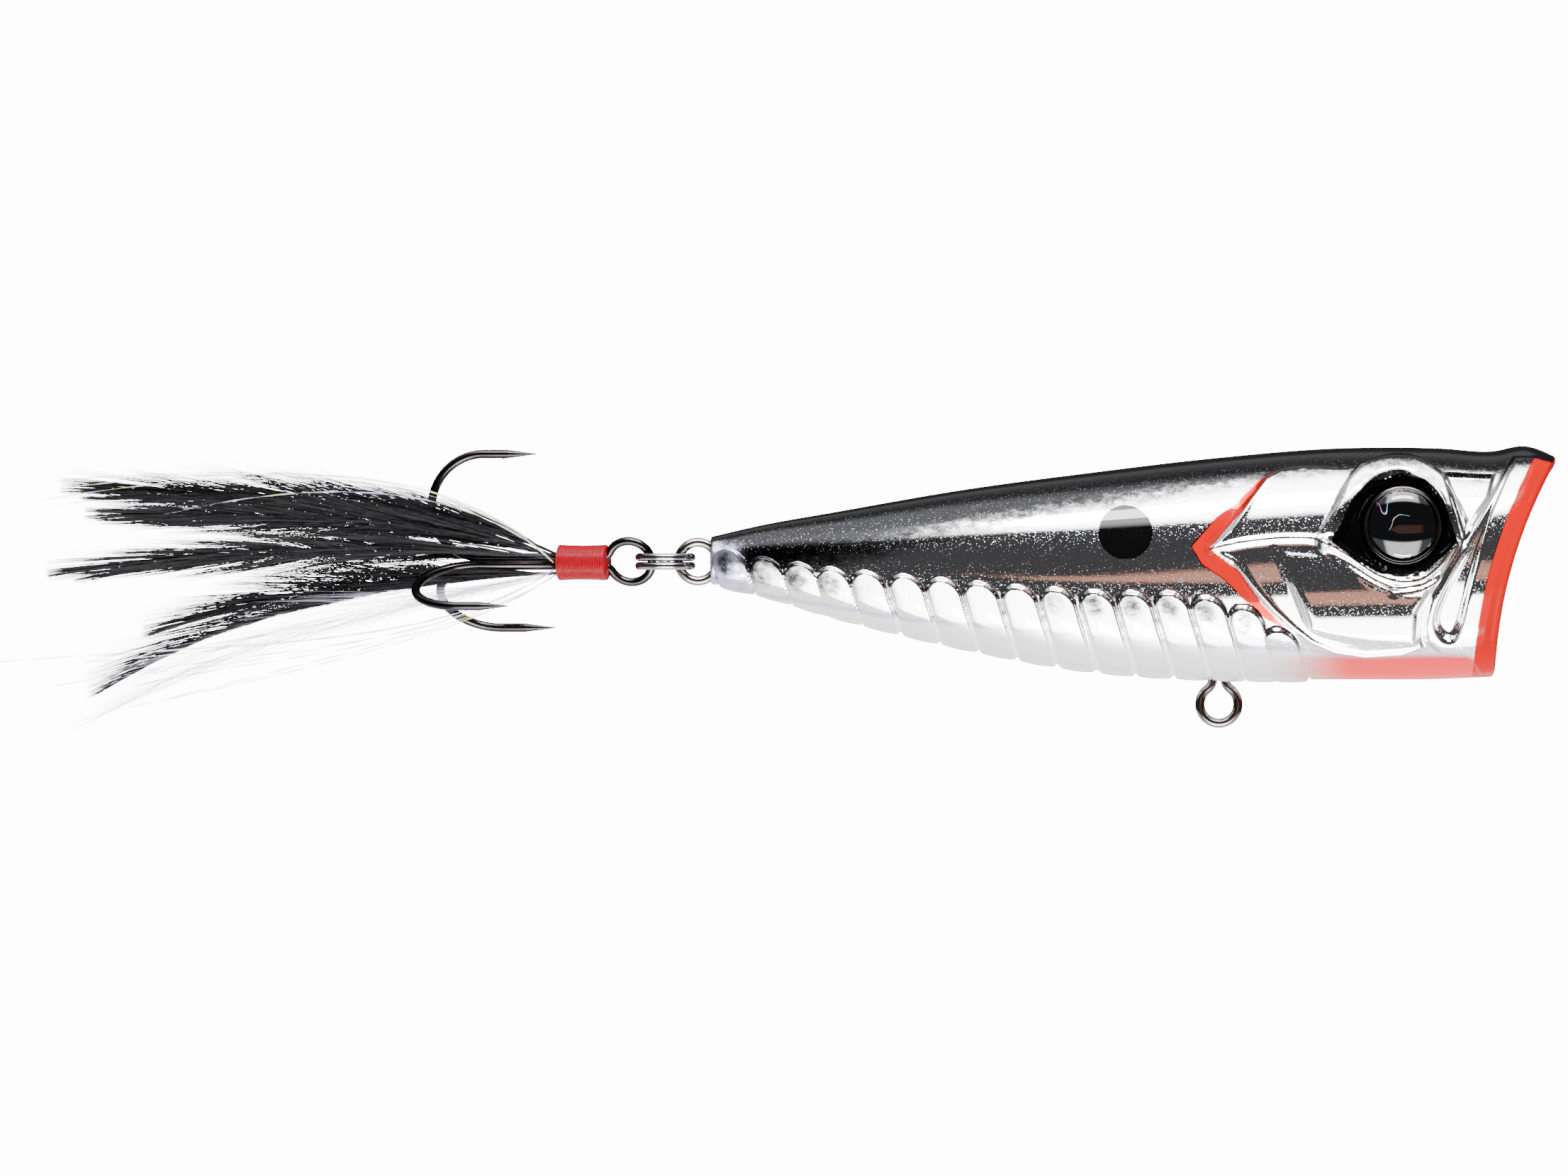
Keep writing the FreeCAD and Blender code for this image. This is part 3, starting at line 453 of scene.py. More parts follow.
def hull_piece(side, hand, material):
    """One plated half of the body: tail face, moulded flank, rolled lip and half of the cup."""
    rows = CUP_START + CUP_ROWS
    bm = bmesh.new()
    bmesh.ops.create_grid(bm, x_segments=rows, y_segments=ROUND_COLUMNS, size=0.5)
    bm.verts.ensure_lookup_table()
    flat = np.array([vert.co[:] for vert in bm.verts])
    row, angle = (flat[:, 0] + 0.5) * rows, (flat[:, 1] + 0.5) * math.pi
    rim, masks = flank_places(row, angle)
    places = np.where((row <= LIP_START + ROW_SLACK)[:, None], rim, mouth_places(row, rim))
    places[:, 1] *= hand
    for vert, place in zip(bm.verts, places):
        vert.co = place

    past_lip = row > LIP_START + 1
    masks["paint"] = [np.where(past_lip, inside, share) for inside, share in zip(CUP_PAINT, masks["paint"])]
    for name, shares in masks.items():
        layer = bm.verts.layers.float_color.new(name)
        for vert, colour in zip(bm.verts, np.stack([*shares, np.ones_like(row)], axis=1)):
            vert[layer] = colour
    bmesh.ops.remove_doubles(bm, verts=bm.verts, dist=0.0005)
    bmesh.ops.dissolve_degenerate(bm, dist=0.0002, edges=bm.edges)
    rim_edges = [edge for edge in bm.edges if edge.is_boundary]
    bmesh.ops.triangle_fill(bm, use_beauty=False, use_dissolve=False, edges=rim_edges)
    bmesh.ops.recalc_face_normals(bm, faces=bm.faces)
    return new_piece("shell_skin_" + side, bm, material, "lure", "shell_" + side)


# ---------------------------------------------------------------- materials

WHITE, BLACK = (1, 1, 1, 1), (0, 0, 0, 1)
LILAC_SHARE = 2.04              # makes half faded plating half lilac


def painted_shares(tree, name):
    """The three shares held in one colour attribute of the shell."""
    attribute = add_node(tree, "Attribute", attribute_name=name, give="Color")
    return list(add_node(tree, "SeparateColor", attribute, give=None))[:3]


def grain(tree, size, stretch=(1, 1, 1), detail=3.0, roughness=0.6):
    """An uneven pattern fixed to the piece, its patches this many millimetres apart."""
    place = add_node(tree, "TexCoord", give="Object")
    moved = add_node(tree, "Mapping", named={"Vector": place, "Scale": stretch})
    return add_node(tree, "TexNoise", named={"Vector": moved, "Scale": 1 / (size * MM), "Detail": detail,
                                             "Roughness": roughness})


def torn(tree, share, mist, spread):
    """A share of paint whose edge breaks up into spray."""
    noisy = add_node(tree, "Math", add_node(tree, "Math", mist, 0.5, operation="SUBTRACT"), spread,
                     operation="MULTIPLY")
    rest = add_node(tree, "Math", 1.0, share, operation="SUBTRACT")
    edge = add_node(tree, "Math", share, rest, operation="MULTIPLY")
    return add_node(tree, "Math", edge, noisy, share, operation="MULTIPLY_ADD", use_clamp=True)


def weighed(tree, start, parts):
    """A start value plus each part times its weight."""
    for share, weight in parts:
        start = add_node(tree, "Math", share, weight, start, operation="MULTIPLY_ADD")
    return start


def plated_abs():
    """Vacuum-metallised ABS under clear lacquer: mirror flanks, a back misted with clear black,
    candy red gill and lip, and a belly where the metal thins out to pearly clear plastic."""
    material, tree, shader = new_material("plated_abs")
    red, black, pearl = painted_shares(tree, "paint")
    # Throat is red paint; charcoal also carries painted shade and a painted dark reflection; groove is a
    # painted highlight.
    throat, charcoal_and_shade, groove = painted_shares(tree, "tint_and_light")

    # Lacquer specks 0.14 mm apart, and mist that breaks up at 0.6 mm.
    flecks = add_node(tree, "ValToRGB", grain(tree, 0.14286, detail=2.0), stops=[(0.62, BLACK), (0.70, WHITE)])
    mist = grain(tree, 0.58824, stretch=(0.6, 1, 1), detail=6.0, roughness=0.8)
    # The charcoal spray also lays down the painted shade round the ribs and brow and the painted dark
    # reflection under the rib arches.
    sprayed_and_shade, fading = torn(tree, charcoal_and_shade, mist, 9.0), torn(tree, pearl, mist, 6.0)
    bare = add_node(tree, "Math", 1.0, sprayed_and_shade, operation="SUBTRACT", use_clamp=True)
    lacquer = add_node(tree, "Math", 1.0, add_node(tree, "Math", bare, 3.2, operation="POWER"),
                       operation="SUBTRACT")

    # Ink and red cover from a thin coat on; a full coat hides the metal under it.
    inked, matt_ink, red_coat, red_body = (
        add_node(tree, "ValToRGB", share, stops=[(start, BLACK), (start + 0.3, WHITE)])
        for share, start in ((black, 0.08), (black, 0.6), (red, 0.05), (red, 0.4)))
    left = add_node(tree, "Math", 1.0, fading, operation="SUBTRACT")
    half_faded = add_node(tree, "Math", fading, left, operation="MULTIPLY")
    lilac = add_node(tree, "Math", half_faded, LILAC_SHARE, operation="MULTIPLY")
    throat_coat = add_node(tree, "Math", throat, 0.95, operation="MULTIPLY")

    # Painted highlight: the pearl whitens towards white in the ribs' grooves.
    colour = add_node(tree, "Mix", groove, linear("#F1F0F3"), linear("#FFFFFF"), data_type="RGBA")
    misted = add_node(tree, "Mix", flecks, linear("#1C1C1E"), linear("#626265"), data_type="RGBA")
    colour = add_node(tree, "Mix", fading, linear("#F4F4F5"), colour, data_type="RGBA")
    for share, coat in ((lilac, linear("#9C95D8")), (throat_coat, linear("#E8161A")), (lacquer, misted),
                        (red_coat, linear("#BE0A06")), (inked, linear("#050505"))):
        colour = add_node(tree, "Mix", share, colour, coat, data_type="RGBA")

    dull = add_node(tree, "Math", fading, 0.55, operation="MULTIPLY")
    for share in (red_body, matt_ink, throat):
        dull = add_node(tree, "Math", dull, share, operation="MAXIMUM")
    metallic = add_node(tree, "Math", 1.0, dull, operation="SUBTRACT", use_clamp=True)

    # Fine scratches, upright strokes of the spray, and slow ripples of the moulding.
    scratches = grain(tree, 2.0, stretch=(0.3, 1, 2.4), detail=6.0, roughness=0.7)
    strokes = grain(tree, 0.66667, stretch=(1, 1, 0.25))
    ripple = grain(tree, 9.0909, stretch=(0.5, 1, 1.2), detail=1.0)
    rough = weighed(tree, 0.03, [(scratches, 0.05), (sprayed_and_shade, 0.14), (fading, 0.2)])
    dents = weighed(tree, 0.0, [(ripple, 0.5), (scratches, 0.06), (strokes, 0.035), (flecks, 0.05)])
    bump = add_node(tree, "Bump", named={"Height": dents, "Strength": 0.3, "Distance": 0.3 * MM})

    # The spot is glossy ink, and the socket's black is matt: only the spot lies behind the head.
    along = add_node(tree, "SeparateXYZ", add_node(tree, "TexCoord", give="Object"), give="X")
    behind_head = add_node(tree, "Math", along, HEAD_START * MM, operation="LESS_THAN")
    glossy_ink = add_node(tree, "Math", inked, behind_head, operation="MULTIPLY")
    for socket, value in (("Base Color", colour), ("Metallic", metallic), ("Roughness", rough),
                          ("Normal", bump), ("Coat Weight", glossy_ink)):
        tree.links.new(value, shader.inputs[socket])
    set_shader(shader, Specular_IOR_Level=0.04, Coat_Roughness=0.02)
    return material


def simple_metal(name, colour, roughness):
    """Metal with a fine uneven finish, its patches 0.7 mm apart."""
    material, tree, shader = new_material(name)
    finish = grain(tree, 0.66667, detail=4.0)
    rough = add_node(tree, "Math", finish, 0.05, roughness, operation="MULTIPLY_ADD")
    darker = tuple(0.8 * channel for channel in linear(colour)[:3]) + (1.0,)
    shade = add_node(tree, "Mix", finish, linear(colour), darker, data_type="RGBA")
    bump = add_node(tree, "Bump", named={"Height": finish, "Strength": 0.12, "Distance": 0.02 * MM})
    for socket, value in (("Base Color", shade), ("Roughness", rough), ("Normal", bump)):
        tree.links.new(value, shader.inputs[socket])
    set_shader(shader, Metallic=1.0)
    return material


def eye_resin():
    """Black foil under clear cast resin: a deep gloss with a few thin prismatic scratches, 3 mm
    apart and broken up, each changing its hue along its length."""
    material, tree, shader = new_material("eye_resin")
    off_line = add_node(tree, "Math", grain(tree, 3.0303, detail=1.0), 0.52, operation="SUBTRACT")
    near_line = add_node(tree, "Math", off_line, operation="ABSOLUTE")
    thin = add_node(tree, "ValToRGB", near_line, stops=[(0.0, WHITE), (0.0045, BLACK)])
    broken = add_node(tree, "ValToRGB", grain(tree, 1.9231, detail=0.0), stops=[(0.55, BLACK), (0.6, WHITE)])
    scratch = add_node(tree, "Math", thin, broken, operation="MULTIPLY")
    hues = add_node(tree, "ValToRGB", grain(tree, 1.1111, detail=0.0),
                    stops=[(0.35, linear("#5BD0E8")), (0.45, linear("#F4F4F4")), (0.5, linear("#E8B45B")),
                           (0.6, linear("#D06BE0"))])
    colour = add_node(tree, "Mix", scratch, linear("#040405"), hues, data_type="RGBA")
    tree.links.new(colour, shader.inputs["Base Color"])
    set_shader(shader, Roughness=0.06, Specular_IOR_Level=0.4, Coat_Weight=0.9, Coat_Roughness=0.01)
    return material


def wound_nylon():
    """Waxed red nylon thread under a coat of head cement: saturated, with a soft gloss, and darker
    patches 0.4 mm apart where the wax lies thick."""
    material, tree, shader = new_material("wound_nylon_thread")
    wax = grain(tree, 0.4, stretch=(4, 1, 1))
    colour = add_node(tree, "Mix", wax, linear("#5A000C"), linear("#B4041E"), data_type="RGBA")
    tree.links.new(colour, shader.inputs["Base Color"])
    set_shader(shader, Roughness=0.35, Specular_IOR_Level=0.16, Coat_Weight=0.06, Coat_Roughness=0.1)
    return material


def cock_hackle(name, dark, pale, solid):
    """Dyed cock hackle: thin matt barbs, their colour streaked along the feather; solid is how much
    of them is opaque, for barbs that let light through."""
    material, tree, shader = new_material(name)
    streak = add_node(tree, "ValToRGB", grain(tree, 0.3125, stretch=(0.08, 1, 1)),
                      stops=[(0.35, linear(dark)), (0.68, linear(pale))])
    tree.links.new(streak, shader.inputs["Base Color"])
    set_shader(shader, Roughness=0.55, Specular_IOR_Level=0.12, Alpha=solid)
    return material


def flash_film():
    """Pearl polyester tinsel: clear strips with a faint milky shine, and lilac and yellow-green
    glints 1.4 mm apart."""
    material, tree, shader = new_material("flash_polyester_film")
    colour = add_node(tree, "ValToRGB", grain(tree, 1.4286, detail=0.0),
                      stops=[(0.36, linear("#D8C8F4")), (0.44, linear("#F6F6F8")), (0.60, linear("#F6F6F8")),
                             (0.66, linear("#E4EE9A"))])
    tree.links.new(colour, shader.inputs["Base Color"])
    set_shader(shader, Metallic=0.5, Roughness=0.3, Alpha=0.4)
    return material


# ---------------------------------------------------------------- eyes, wires and ring

DOME_RADIUS, DOME_STEP, DOME_STEPS = EYE_RADIUS - 0.34, 0.06, 18


def smooth_copy(node, name, material, body):
    """A CAD piece with its triangles joined, so that its curves shade smoothly."""
    bm = bmesh.new()
    bm.from_mesh(frame["nodes"][node].data)
    bmesh.ops.remove_doubles(bm, verts=bm.verts, dist=1e-6)
    bmesh.ops.scale(bm, vec=(1 / MM, 1 / MM, 1 / MM), verts=bm.verts)
    piece = new_piece(name, bm, material, body, node)
    piece.data.set_sharp_from_angle(angle=math.radians(40))
    return piece


def spun(profile, axis, centre, steps=96):
    """A closed solid of revolution from (radius, along) points; the profile ends on the axis."""
    bm = bmesh.new()
    across = Vector((0, 0, 1)) if abs(axis.z) < 0.5 else Vector((1, 0, 0))
    verts = [bm.verts.new(centre + across * radius + axis * along) for radius, along in profile]
    edges = [bm.edges.new(pair) for pair in zip(verts, verts[1:])]
    bmesh.ops.spin(bm, geom=verts + edges, cent=centre, axis=axis, angle=math.tau, steps=steps, use_merge=True)
    bmesh.ops.remove_doubles(bm, verts=bm.verts, dist=1e-5)
    bmesh.ops.recalc_face_normals(bm, faces=bm.faces)
    return bm


def eye_dome(side, hand, material):
    """The lens: a stepped edge, a fine groove and the dome over it."""
    low, high = box_mm("eye_lens_" + side)
    base, crown = (low.y, high.y) if hand > 0 else (-high.y, -low.y)
    depth = crown - base
    edge = depth * 0.36
    profile = [(0.0, 0.0), (EYE_RADIUS, 0.0), (EYE_RADIUS, edge - 0.12), (EYE_RADIUS - 0.08, edge),
               (EYE_RADIUS - 0.22, edge + 0.02), (EYE_RADIUS - 0.28, edge - 0.06),
               (DOME_RADIUS, edge + DOME_STEP)]
    for step in range(1, DOME_STEPS + 1):
        angle = step / DOME_STEPS * math.pi / 2
        profile.append((DOME_RADIUS * math.cos(angle),
                        edge + DOME_STEP + (depth - edge - DOME_STEP) * math.sin(angle)))
    bm = spun(profile, Vector((0, hand, 0)), Vector((EYE_X, hand * base, EYE_Z)))
    return new_piece("eye_dome_" + side, bm, material, "lure", "eye_lens_" + side)


RING_WIRE, RING_SIDES = 0.34, 14
RING_TURNS, RING_STEPS = 1.93, 150
CROSSING = (0.9, 1.06)          # turns over which the wire steps up beside itself


def split_ring(material):
    """Two turns of one wire coiled side by side, its free ends almost meeting."""
    low, high = box_mm("split_ring")
    centre = (low + high) / 2
    centre.y = 0.0
    radius = (high.x - low.x) / 2 - RING_WIRE
    height = high.z - low.z
    pitch = height - 2 * RING_WIRE
    bm = bmesh.new()
    bmesh.ops.create_circle(bm, segments=RING_SIDES, radius=RING_WIRE, cap_ends=True,
                            matrix=Matrix.Translation((centre.x, radius, centre.z - pitch / 2))
                            @ Matrix.Rotation(math.pi / 2, 4, "Y"))
    bmesh.ops.spin(bm, geom=bm.verts[:] + bm.edges[:] + bm.faces[:], cent=centre, axis=(0, 0, 1),
                   angle=math.tau * RING_TURNS, steps=RING_STEPS)
    bm.verts.ensure_lookup_table()
    sections = len(bm.verts) // RING_SIDES
    for index in range(sections):
        turn = index / (sections - 1) * RING_TURNS
        rise = pitch * float(smoothstep(*CROSSING, turn))
        for vert in bm.verts[index * RING_SIDES:(index + 1) * RING_SIDES]:
            vert.co.z += rise
    bmesh.ops.recalc_face_normals(bm, faces=bm.faces)
    return new_piece("split_ring_coil", bm, material, "ring", "split_ring")


# ---------------------------------------------------------------- dressed hook

RING_CENTRE = Vector(next(j for j in frame["joints"] if j["name"] == "hook_swing")["pos_m"]) / MM
HOOK_YAW, HOOK_ROLL = 14.0, 6.6
HOOK_HANG = 3.02                # ring's centre to the hook eye's centre
WRAP_START, WRAP_LENGTH, WRAP_RADIUS = 1.85, 4.4, 1.55
WRAP_END = WRAP_START + WRAP_LENGTH
SHANK_RADIUS, SHANK_OFFSET = 0.798, 0.2165
SWING = Matrix.Rotation(math.radians(-HOOK_YAW), 4, "Z")
HOOK_PLACE = Matrix.Translation(RING_CENTRE + SWING @ Vector((-HOOK_HANG, 0, 0))) @ SWING


def spoke(degrees):
    """The direction out from the shank at this place round it."""
    angle = math.radians(degrees)
    return Vector((0, -math.sin(angle), math.cos(angle)))


SHANK_AXIS = spoke(120 - HOOK_ROLL) * SHANK_OFFSET


THREAD_PITCH, THREAD_STEPS, THREAD_PROUD = 0.21, 6, 0.09
THREAD_WAIST, THREAD_SHOULDER, SHOULDER_SHARE = 0.10, 0.28, 0.05


def thread_wrap(material):
    """Close turns of thread round the shank, waisted in the middle and rounded off at both ends."""
    turns = int(WRAP_LENGTH / THREAD_PITCH)
    profile = [(0.0, 0.0), (WRAP_RADIUS * 0.55, 0.0)]
    for step in range(turns * THREAD_STEPS + 1):
        along = step / THREAD_STEPS * THREAD_PITCH
        share = along / WRAP_LENGTH
        body = WRAP_RADIUS - THREAD_PROUD - THREAD_WAIST * math.sin(math.pi * share) ** 0.7
        for end in (share, 1 - share):
            body -= THREAD_SHOULDER * max(0.0, 1 - end / SHOULDER_SHARE) ** 2
        profile.append((body + THREAD_PROUD * abs(math.sin(math.pi * step / THREAD_STEPS)), along))
    profile += [(WRAP_RADIUS * 0.5, turns * THREAD_PITCH), (0.0, turns * THREAD_PITCH)]
    bm = spun(profile, Vector((-1, 0, 0)), SHANK_AXIS + Vector((-WRAP_START, 0, 0)), steps=72)
    bmesh.ops.transform(bm, matrix=HOOK_PLACE, verts=bm.verts)
    return new_piece("wound_thread", bm, material, "treble", "thread_wrap")


def tapered_hair(name, sides, rings):
    """A unit hair along X, thick at its root and fine at its tip: the pattern for barbs."""
    bm = bmesh.new()
    bmesh.ops.create_cone(bm, cap_ends=True, segments=sides, radius1=1.0, radius2=0.12, depth=1.0,
                          matrix=Matrix.Translation((0.5, 0, 0)) @ Matrix.Rotation(math.pi / 2, 4, "Y"))
    long_edges = [edge for edge in bm.edges if abs(edge.verts[0].co.x - edge.verts[1].co.x) > 0.5]
    bmesh.ops.subdivide_edges(bm, edges=long_edges, cuts=rings)
    mesh = bpy.data.meshes.new(name)
    bm.to_mesh(mesh)
    bm.free()
    return mesh


BARB = tapered_hair("barb_pattern", 3, 4)
QUILL = tapered_hair("quill_pattern", 6, 24)
STRAND = tapered_hair("strand_pattern", 4, 60)


def lay_hair(bm, pattern, curve, width, thick, lean, twist=0.0, tip=0.15):
    """Lays one hair of a pattern along curve(share). Lean is the direction its width tends to, and
    tip is the share of its thickness left at the end."""
    count = len(pattern.vertices)
    bm.from_mesh(pattern)
    bm.verts.ensure_lookup_table()
    for vert in bm.verts[len(bm.verts) - count:]:
        share = min(max(vert.co.x, 0.0), 1.0)
        here = curve(share)
        ahead = (curve(min(share + 0.02, 1.0)) - curve(max(share - 0.02, 0.0))).normalized()
        side = (lean - ahead * lean.dot(ahead)).normalized()
        if twist:
            side = Matrix.Rotation(twist * share, 3, ahead) @ side
        other = ahead.cross(side)
        radius = max(abs(vert.co.y), abs(vert.co.z))
        taper = (1 - share) + tip * share
        vert.co = here + side * (vert.co.y / radius * width * taper) \
            + other * (vert.co.z / radius * thick * taper)


# As the dressing is tied: place round the shank, splay, length, then the tip's height, how fast
# the quill lifts at the thread, the droop of its end, and the swell of the barbs over and under.
BLACK_HACKLES = [
    (35, 1.4, 40.0, 5.7, 0.44, 0.2, 3.1, 2.4),
    (53, 4.3, 37.5, 4.2, 0.30, 0.7, 2.6, 2.6),
    (71, 5.6, 40.5, 1.6, 0.14, 2.6, 2.4, 2.2),
    (155, 0.0, 33.6, -0.6, 0.0, 4.0, 3.2, 2.0),
    (191, 0.0, 38.8, -1.0, -0.02, 8.4, 4.2, 1.0),
    (275, -3.8, 40.5, 1.4, 0.12, 2.4, 2.4, 2.4),
    (293, -2.2, 38.0, 4.0, 0.28, 0.6, 2.6, 2.4),
    (311, -0.9, 39.0, 5.3, 0.42, 0.3, 3.2, 2.4),
]
WHITE_HACKLES = [
    (137, 2.9, 36.0, -5.0, -0.14, 4.0, 2.8, 2.2),
    (173, 0.0, 41.0, -6.0, -0.16, 6.6, 2.4, 1.8),
    (209, -0.3, 38.0, -5.0, -0.12, 6.0, 2.6, 2.0),
]
# Flash strands: place round the shank, splay, length, tip's height, lift and droop.
TINSELS = [
    (90, 3.0, 44.0, 7.6, 0.95, 2.4),
    (262, -6.0, 45.0, 7.0, 0.85, 2.0),
    (120, 8.6, 46.5, -7.4, -0.62, 0.4),
    (222, -8.6, 46.0, -8.6, -0.50, 1.0),
]


SETTLE = 9.0                    # how far a quill runs before its lift is spent
BARBS_IN_LOCK = 9


def rise_of(share, length, tip, lift, droop):
    """Height of a quill over its straight line: it lifts, levels off and lets its end hang."""
    lifted = (lift * SETTLE) * (1 - math.exp(-length * share / SETTLE))
    level = tip - (lift * SETTLE) * (1 - math.exp(-length / SETTLE))
    return lifted + level * share - droop * max(share, 0.0) ** 2.6


def root_matrix(degrees, splay, depth):
    """Where a quill leaves the thread, pointing back along -X; depth is how far off the shank."""
    start = SHANK_AXIS + spoke(degrees) * (SHANK_RADIUS + depth) - Vector((WRAP_END, 0, 0))
    return HOOK_PLACE @ Matrix.Translation(start) @ Matrix.Rotation(math.radians(splay), 4, "Z")


def hackle_piece(colour, number, values, material, barbs, seed):
    """One feather: a curved quill with barbs on both sides that sweep towards its tip, held
    together in locks."""
    degrees, splay, length, tip, lift, droop, over, under = values
    place = root_matrix(degrees, splay, 0.13)
    chance = random.Random(seed)
    wander = chance.uniform(0, 6)

    def quill(share):
        return place @ Vector((-length * share, 0.35 * math.sin(wander + 2.5 * share) * share,
                               rise_of(share, length, tip, lift, droop)))

    bm = bmesh.new()
    sideways = place.to_3x3() @ Vector((0, 1, 0))
    lay_hair(bm, QUILL, lambda share: quill(0.97 * share - 0.01), 0.13, 0.10, sideways)
    for index in range(barbs):
        share = 0.03 + 0.94 * (index + chance.random()) / barbs
        root = quill(share)
        ahead = (quill(share + 0.02) - quill(share - 0.02)).normalized()
        if index % BARBS_IN_LOCK == 0:
            lock, stretch = chance.uniform(0.1, 1.0), chance.uniform(7.5, 13.0)
            curl = chance.uniform(0.5, 0.72)
        # Short barbs at the thread, full ones along the feather, short again at its tip.
        full = min(1.0, 0.22 + 2.4 * share) * min(1.0, 1.7 * (1.04 - share))
        for hand, swell in ((1, over), (-1, under)):
            spread = swell * full * (0.75 * lock + 0.3 * chance.random())
            reach = min(stretch * chance.uniform(0.85, 1.1), (1.03 - share) * length + 1.2)
            out = (ahead.cross(sideways) * -hand).normalized()
            drift = sideways * chance.gauss(0, 0.55)

            def barb(part, root=root, ahead=ahead, out=out, drift=drift, curl=curl, reach=reach,
                     spread=spread):
                return root + ahead * reach * part + out * spread * part ** curl + drift * part

            lay_hair(bm, BARB, barb, 0.034, 0.022, ahead.cross(sideways), tip=0.12)
    bmesh.ops.recalc_face_normals(bm, faces=bm.faces)
    return new_piece(f"{colour}_hackle_feather_{number}", bm, material, "treble",
                     f"{colour}_hackle_{number}")


def tinsel_piece(number, values, material, seed):
    """A few flash strands that leave the thread together, each with its own slow twist."""
    degrees, splay, length, tip, lift, droop = values
    place = root_matrix(degrees, splay, 0.33)
    chance = random.Random(seed)
    bm = bmesh.new()
    for strand in range(4):
        reach = length * (chance.uniform(0.75, 0.98) if strand else 1.0)
        fan = chance.uniform(-2.0, 2.0) if strand else 0.0
        wave, phase = chance.uniform(0.1, 0.3), chance.uniform(0, 6)

        def path(share, reach=reach, fan=fan, wave=wave, phase=phase):
            sway = wave * share * math.sin(phase + 6 * share)
            return place @ Vector((-reach * share, 0.6 * fan * share + sway,
                                   rise_of(share, reach, tip + fan, lift, droop) + sway))

        lay_hair(bm, STRAND, path, 0.07, 0.012, Vector((0, 0, 1)), twist=chance.uniform(20, 40), tip=1.0)
    bmesh.ops.recalc_face_normals(bm, faces=bm.faces)
    return new_piece(f"flash_strands_{number}", bm, material, "treble", f"flash_tinsel_{number}")


# ---------------------------------------------------------------- studio

CENTRE = (Vector(CAD_BOX[0]) + Vector(CAD_BOX[1])) / 2
UNLIT, WARM = (0.0048, 0.0048, 0.0052, 1), (0.066, 0.032, 0.023, 1)
MIRRORED, SOFT, SEEN = 12.0, 1.0, 14.0      # strengths of the surroundings for each kind of ray
# Soft lights: name, place from the object's centre, size, power in watts.
LAMPS = [("key", (0.05, -0.42, 0.56), (0.42, 0.15), 10.0), ("low", (0.05, -0.38, -0.58), (0.36, 0.10), 7.0)]
FLOOR_HALF, FLOOR_DROP, FLOOR_BACK = 0.12, 0.045, 0.1
LENS, SENSOR, DISTANCE = 1000.0, 36.0, 3.635
CAMERA_OFFSET = (0.0005, -0.00015)          # along X and Z from the object's centre


def surroundings():
    """A white room whose reflection in the plating has a dark band near eye level, a warm strip in
    that band, and dark ends and back that outline the body."""
    world = bpy.data.worlds.new("studio")
    bpy.context.scene.world = world
    world.use_nodes = True
    tree = world.node_tree
    tree.nodes.clear()
    way = add_node(tree, "TexCoord", give="Generated")
    across, depth, up = add_node(tree, "SeparateXYZ", way, give=None)
    height = add_node(tree, "Math", up, 0.5, 0.5, operation="MULTIPLY_ADD")
    room = add_node(tree, "ValToRGB", height, stops=[
        (0.0, (0.95, 0.95, 0.96, 1)), (0.31, WHITE), (0.335, UNLIT), (0.79, UNLIT), (0.83, WHITE),
        (1.0, (0.9, 0.9, 0.9, 1))])

    # The warm strip widens towards the head's end.
    towards_head = add_node(tree, "Math", across, 5.5, operation="MULTIPLY")
    towards_head = add_node(tree, "Math", towards_head, 1.43, operation="ADD", use_clamp=True)
    half_width = add_node(tree, "Math", towards_head, 0.085, operation="MULTIPLY")
    off_line = add_node(tree, "Math", add_node(tree, "Math", up, 0.07, operation="ADD"), operation="ABSOLUTE")
    in_strip = add_node(tree, "Math", off_line, half_width, operation="LESS_THAN")
    room = add_node(tree, "Mix", in_strip, room, WARM, data_type="RGBA")

    sideways = add_node(tree, "Math", across, operation="ABSOLUTE")
    beside = add_node(tree, "ValToRGB", sideways, stops=[(0.38, BLACK), (0.5, WHITE)])
    behind = add_node(tree, "ValToRGB", depth, stops=[(0.02, BLACK), (0.25, WHITE)])
    above = add_node(tree, "Math", up, -0.05, operation="GREATER_THAN")
    back_wall = add_node(tree, "Math", behind, above, operation="MULTIPLY")
    dark = add_node(tree, "Math", beside, back_wall, operation="MAXIMUM")
    dark = add_node(tree, "Math", dark, 0.93, operation="MULTIPLY")
    room = add_node(tree, "Mix", dark, room, UNLIT, data_type="RGBA")

    rays = add_node(tree, "LightPath", give=None)
    mirrored, soft, seen = (add_node(tree, "Background", colour, strength) for colour, strength in
                            ((room, MIRRORED), (WHITE, SOFT), (WHITE, SEEN)))
    lit = add_node(tree, "MixShader", rays["Is Glossy Ray"], soft, mirrored)
    mixed = add_node(tree, "MixShader", rays["Is Camera Ray"], lit, seen)
    add_node(tree, "OutputWorld", mixed, give=None)


def place_lamps():
    """Two wide soft lights on the near side, above and below the object."""
    for name, offset, size, power in LAMPS:
        light = bpy.data.lights.new(name, "AREA")
        light.shape = "RECTANGLE"
        light.size, light.size_y = size
        light.energy = power
        lamp = bpy.data.objects.new(name, light)
        lamp.location = CENTRE + Vector(offset)
        lamp.rotation_euler = (-Vector(offset)).to_track_quat("-Z", "Y").to_euler()
        bpy.context.scene.collection.objects.link(lamp)


def lay_floor():
    """A sheet of pale card below and behind the object."""
    bm = bmesh.new()
    bmesh.ops.create_grid(bm, x_segments=2, y_segments=2, size=FLOOR_HALF)
    bmesh.ops.translate(bm, vec=(CENTRE.x, FLOOR_BACK, CAD_BOX[0][2] - FLOOR_DROP), verts=bm.verts)
    mesh = bpy.data.meshes.new("floor")
    bm.to_mesh(mesh)
    bm.free()
    floor = bpy.data.objects.new("floor", mesh)
    bpy.context.scene.collection.objects.link(floor)
    paper, _tree, shader = new_material("pale_card")
    set_shader(shader, Base_Color=linear("#F2F2F2"), Roughness=0.9)
    mesh.materials.append(paper)


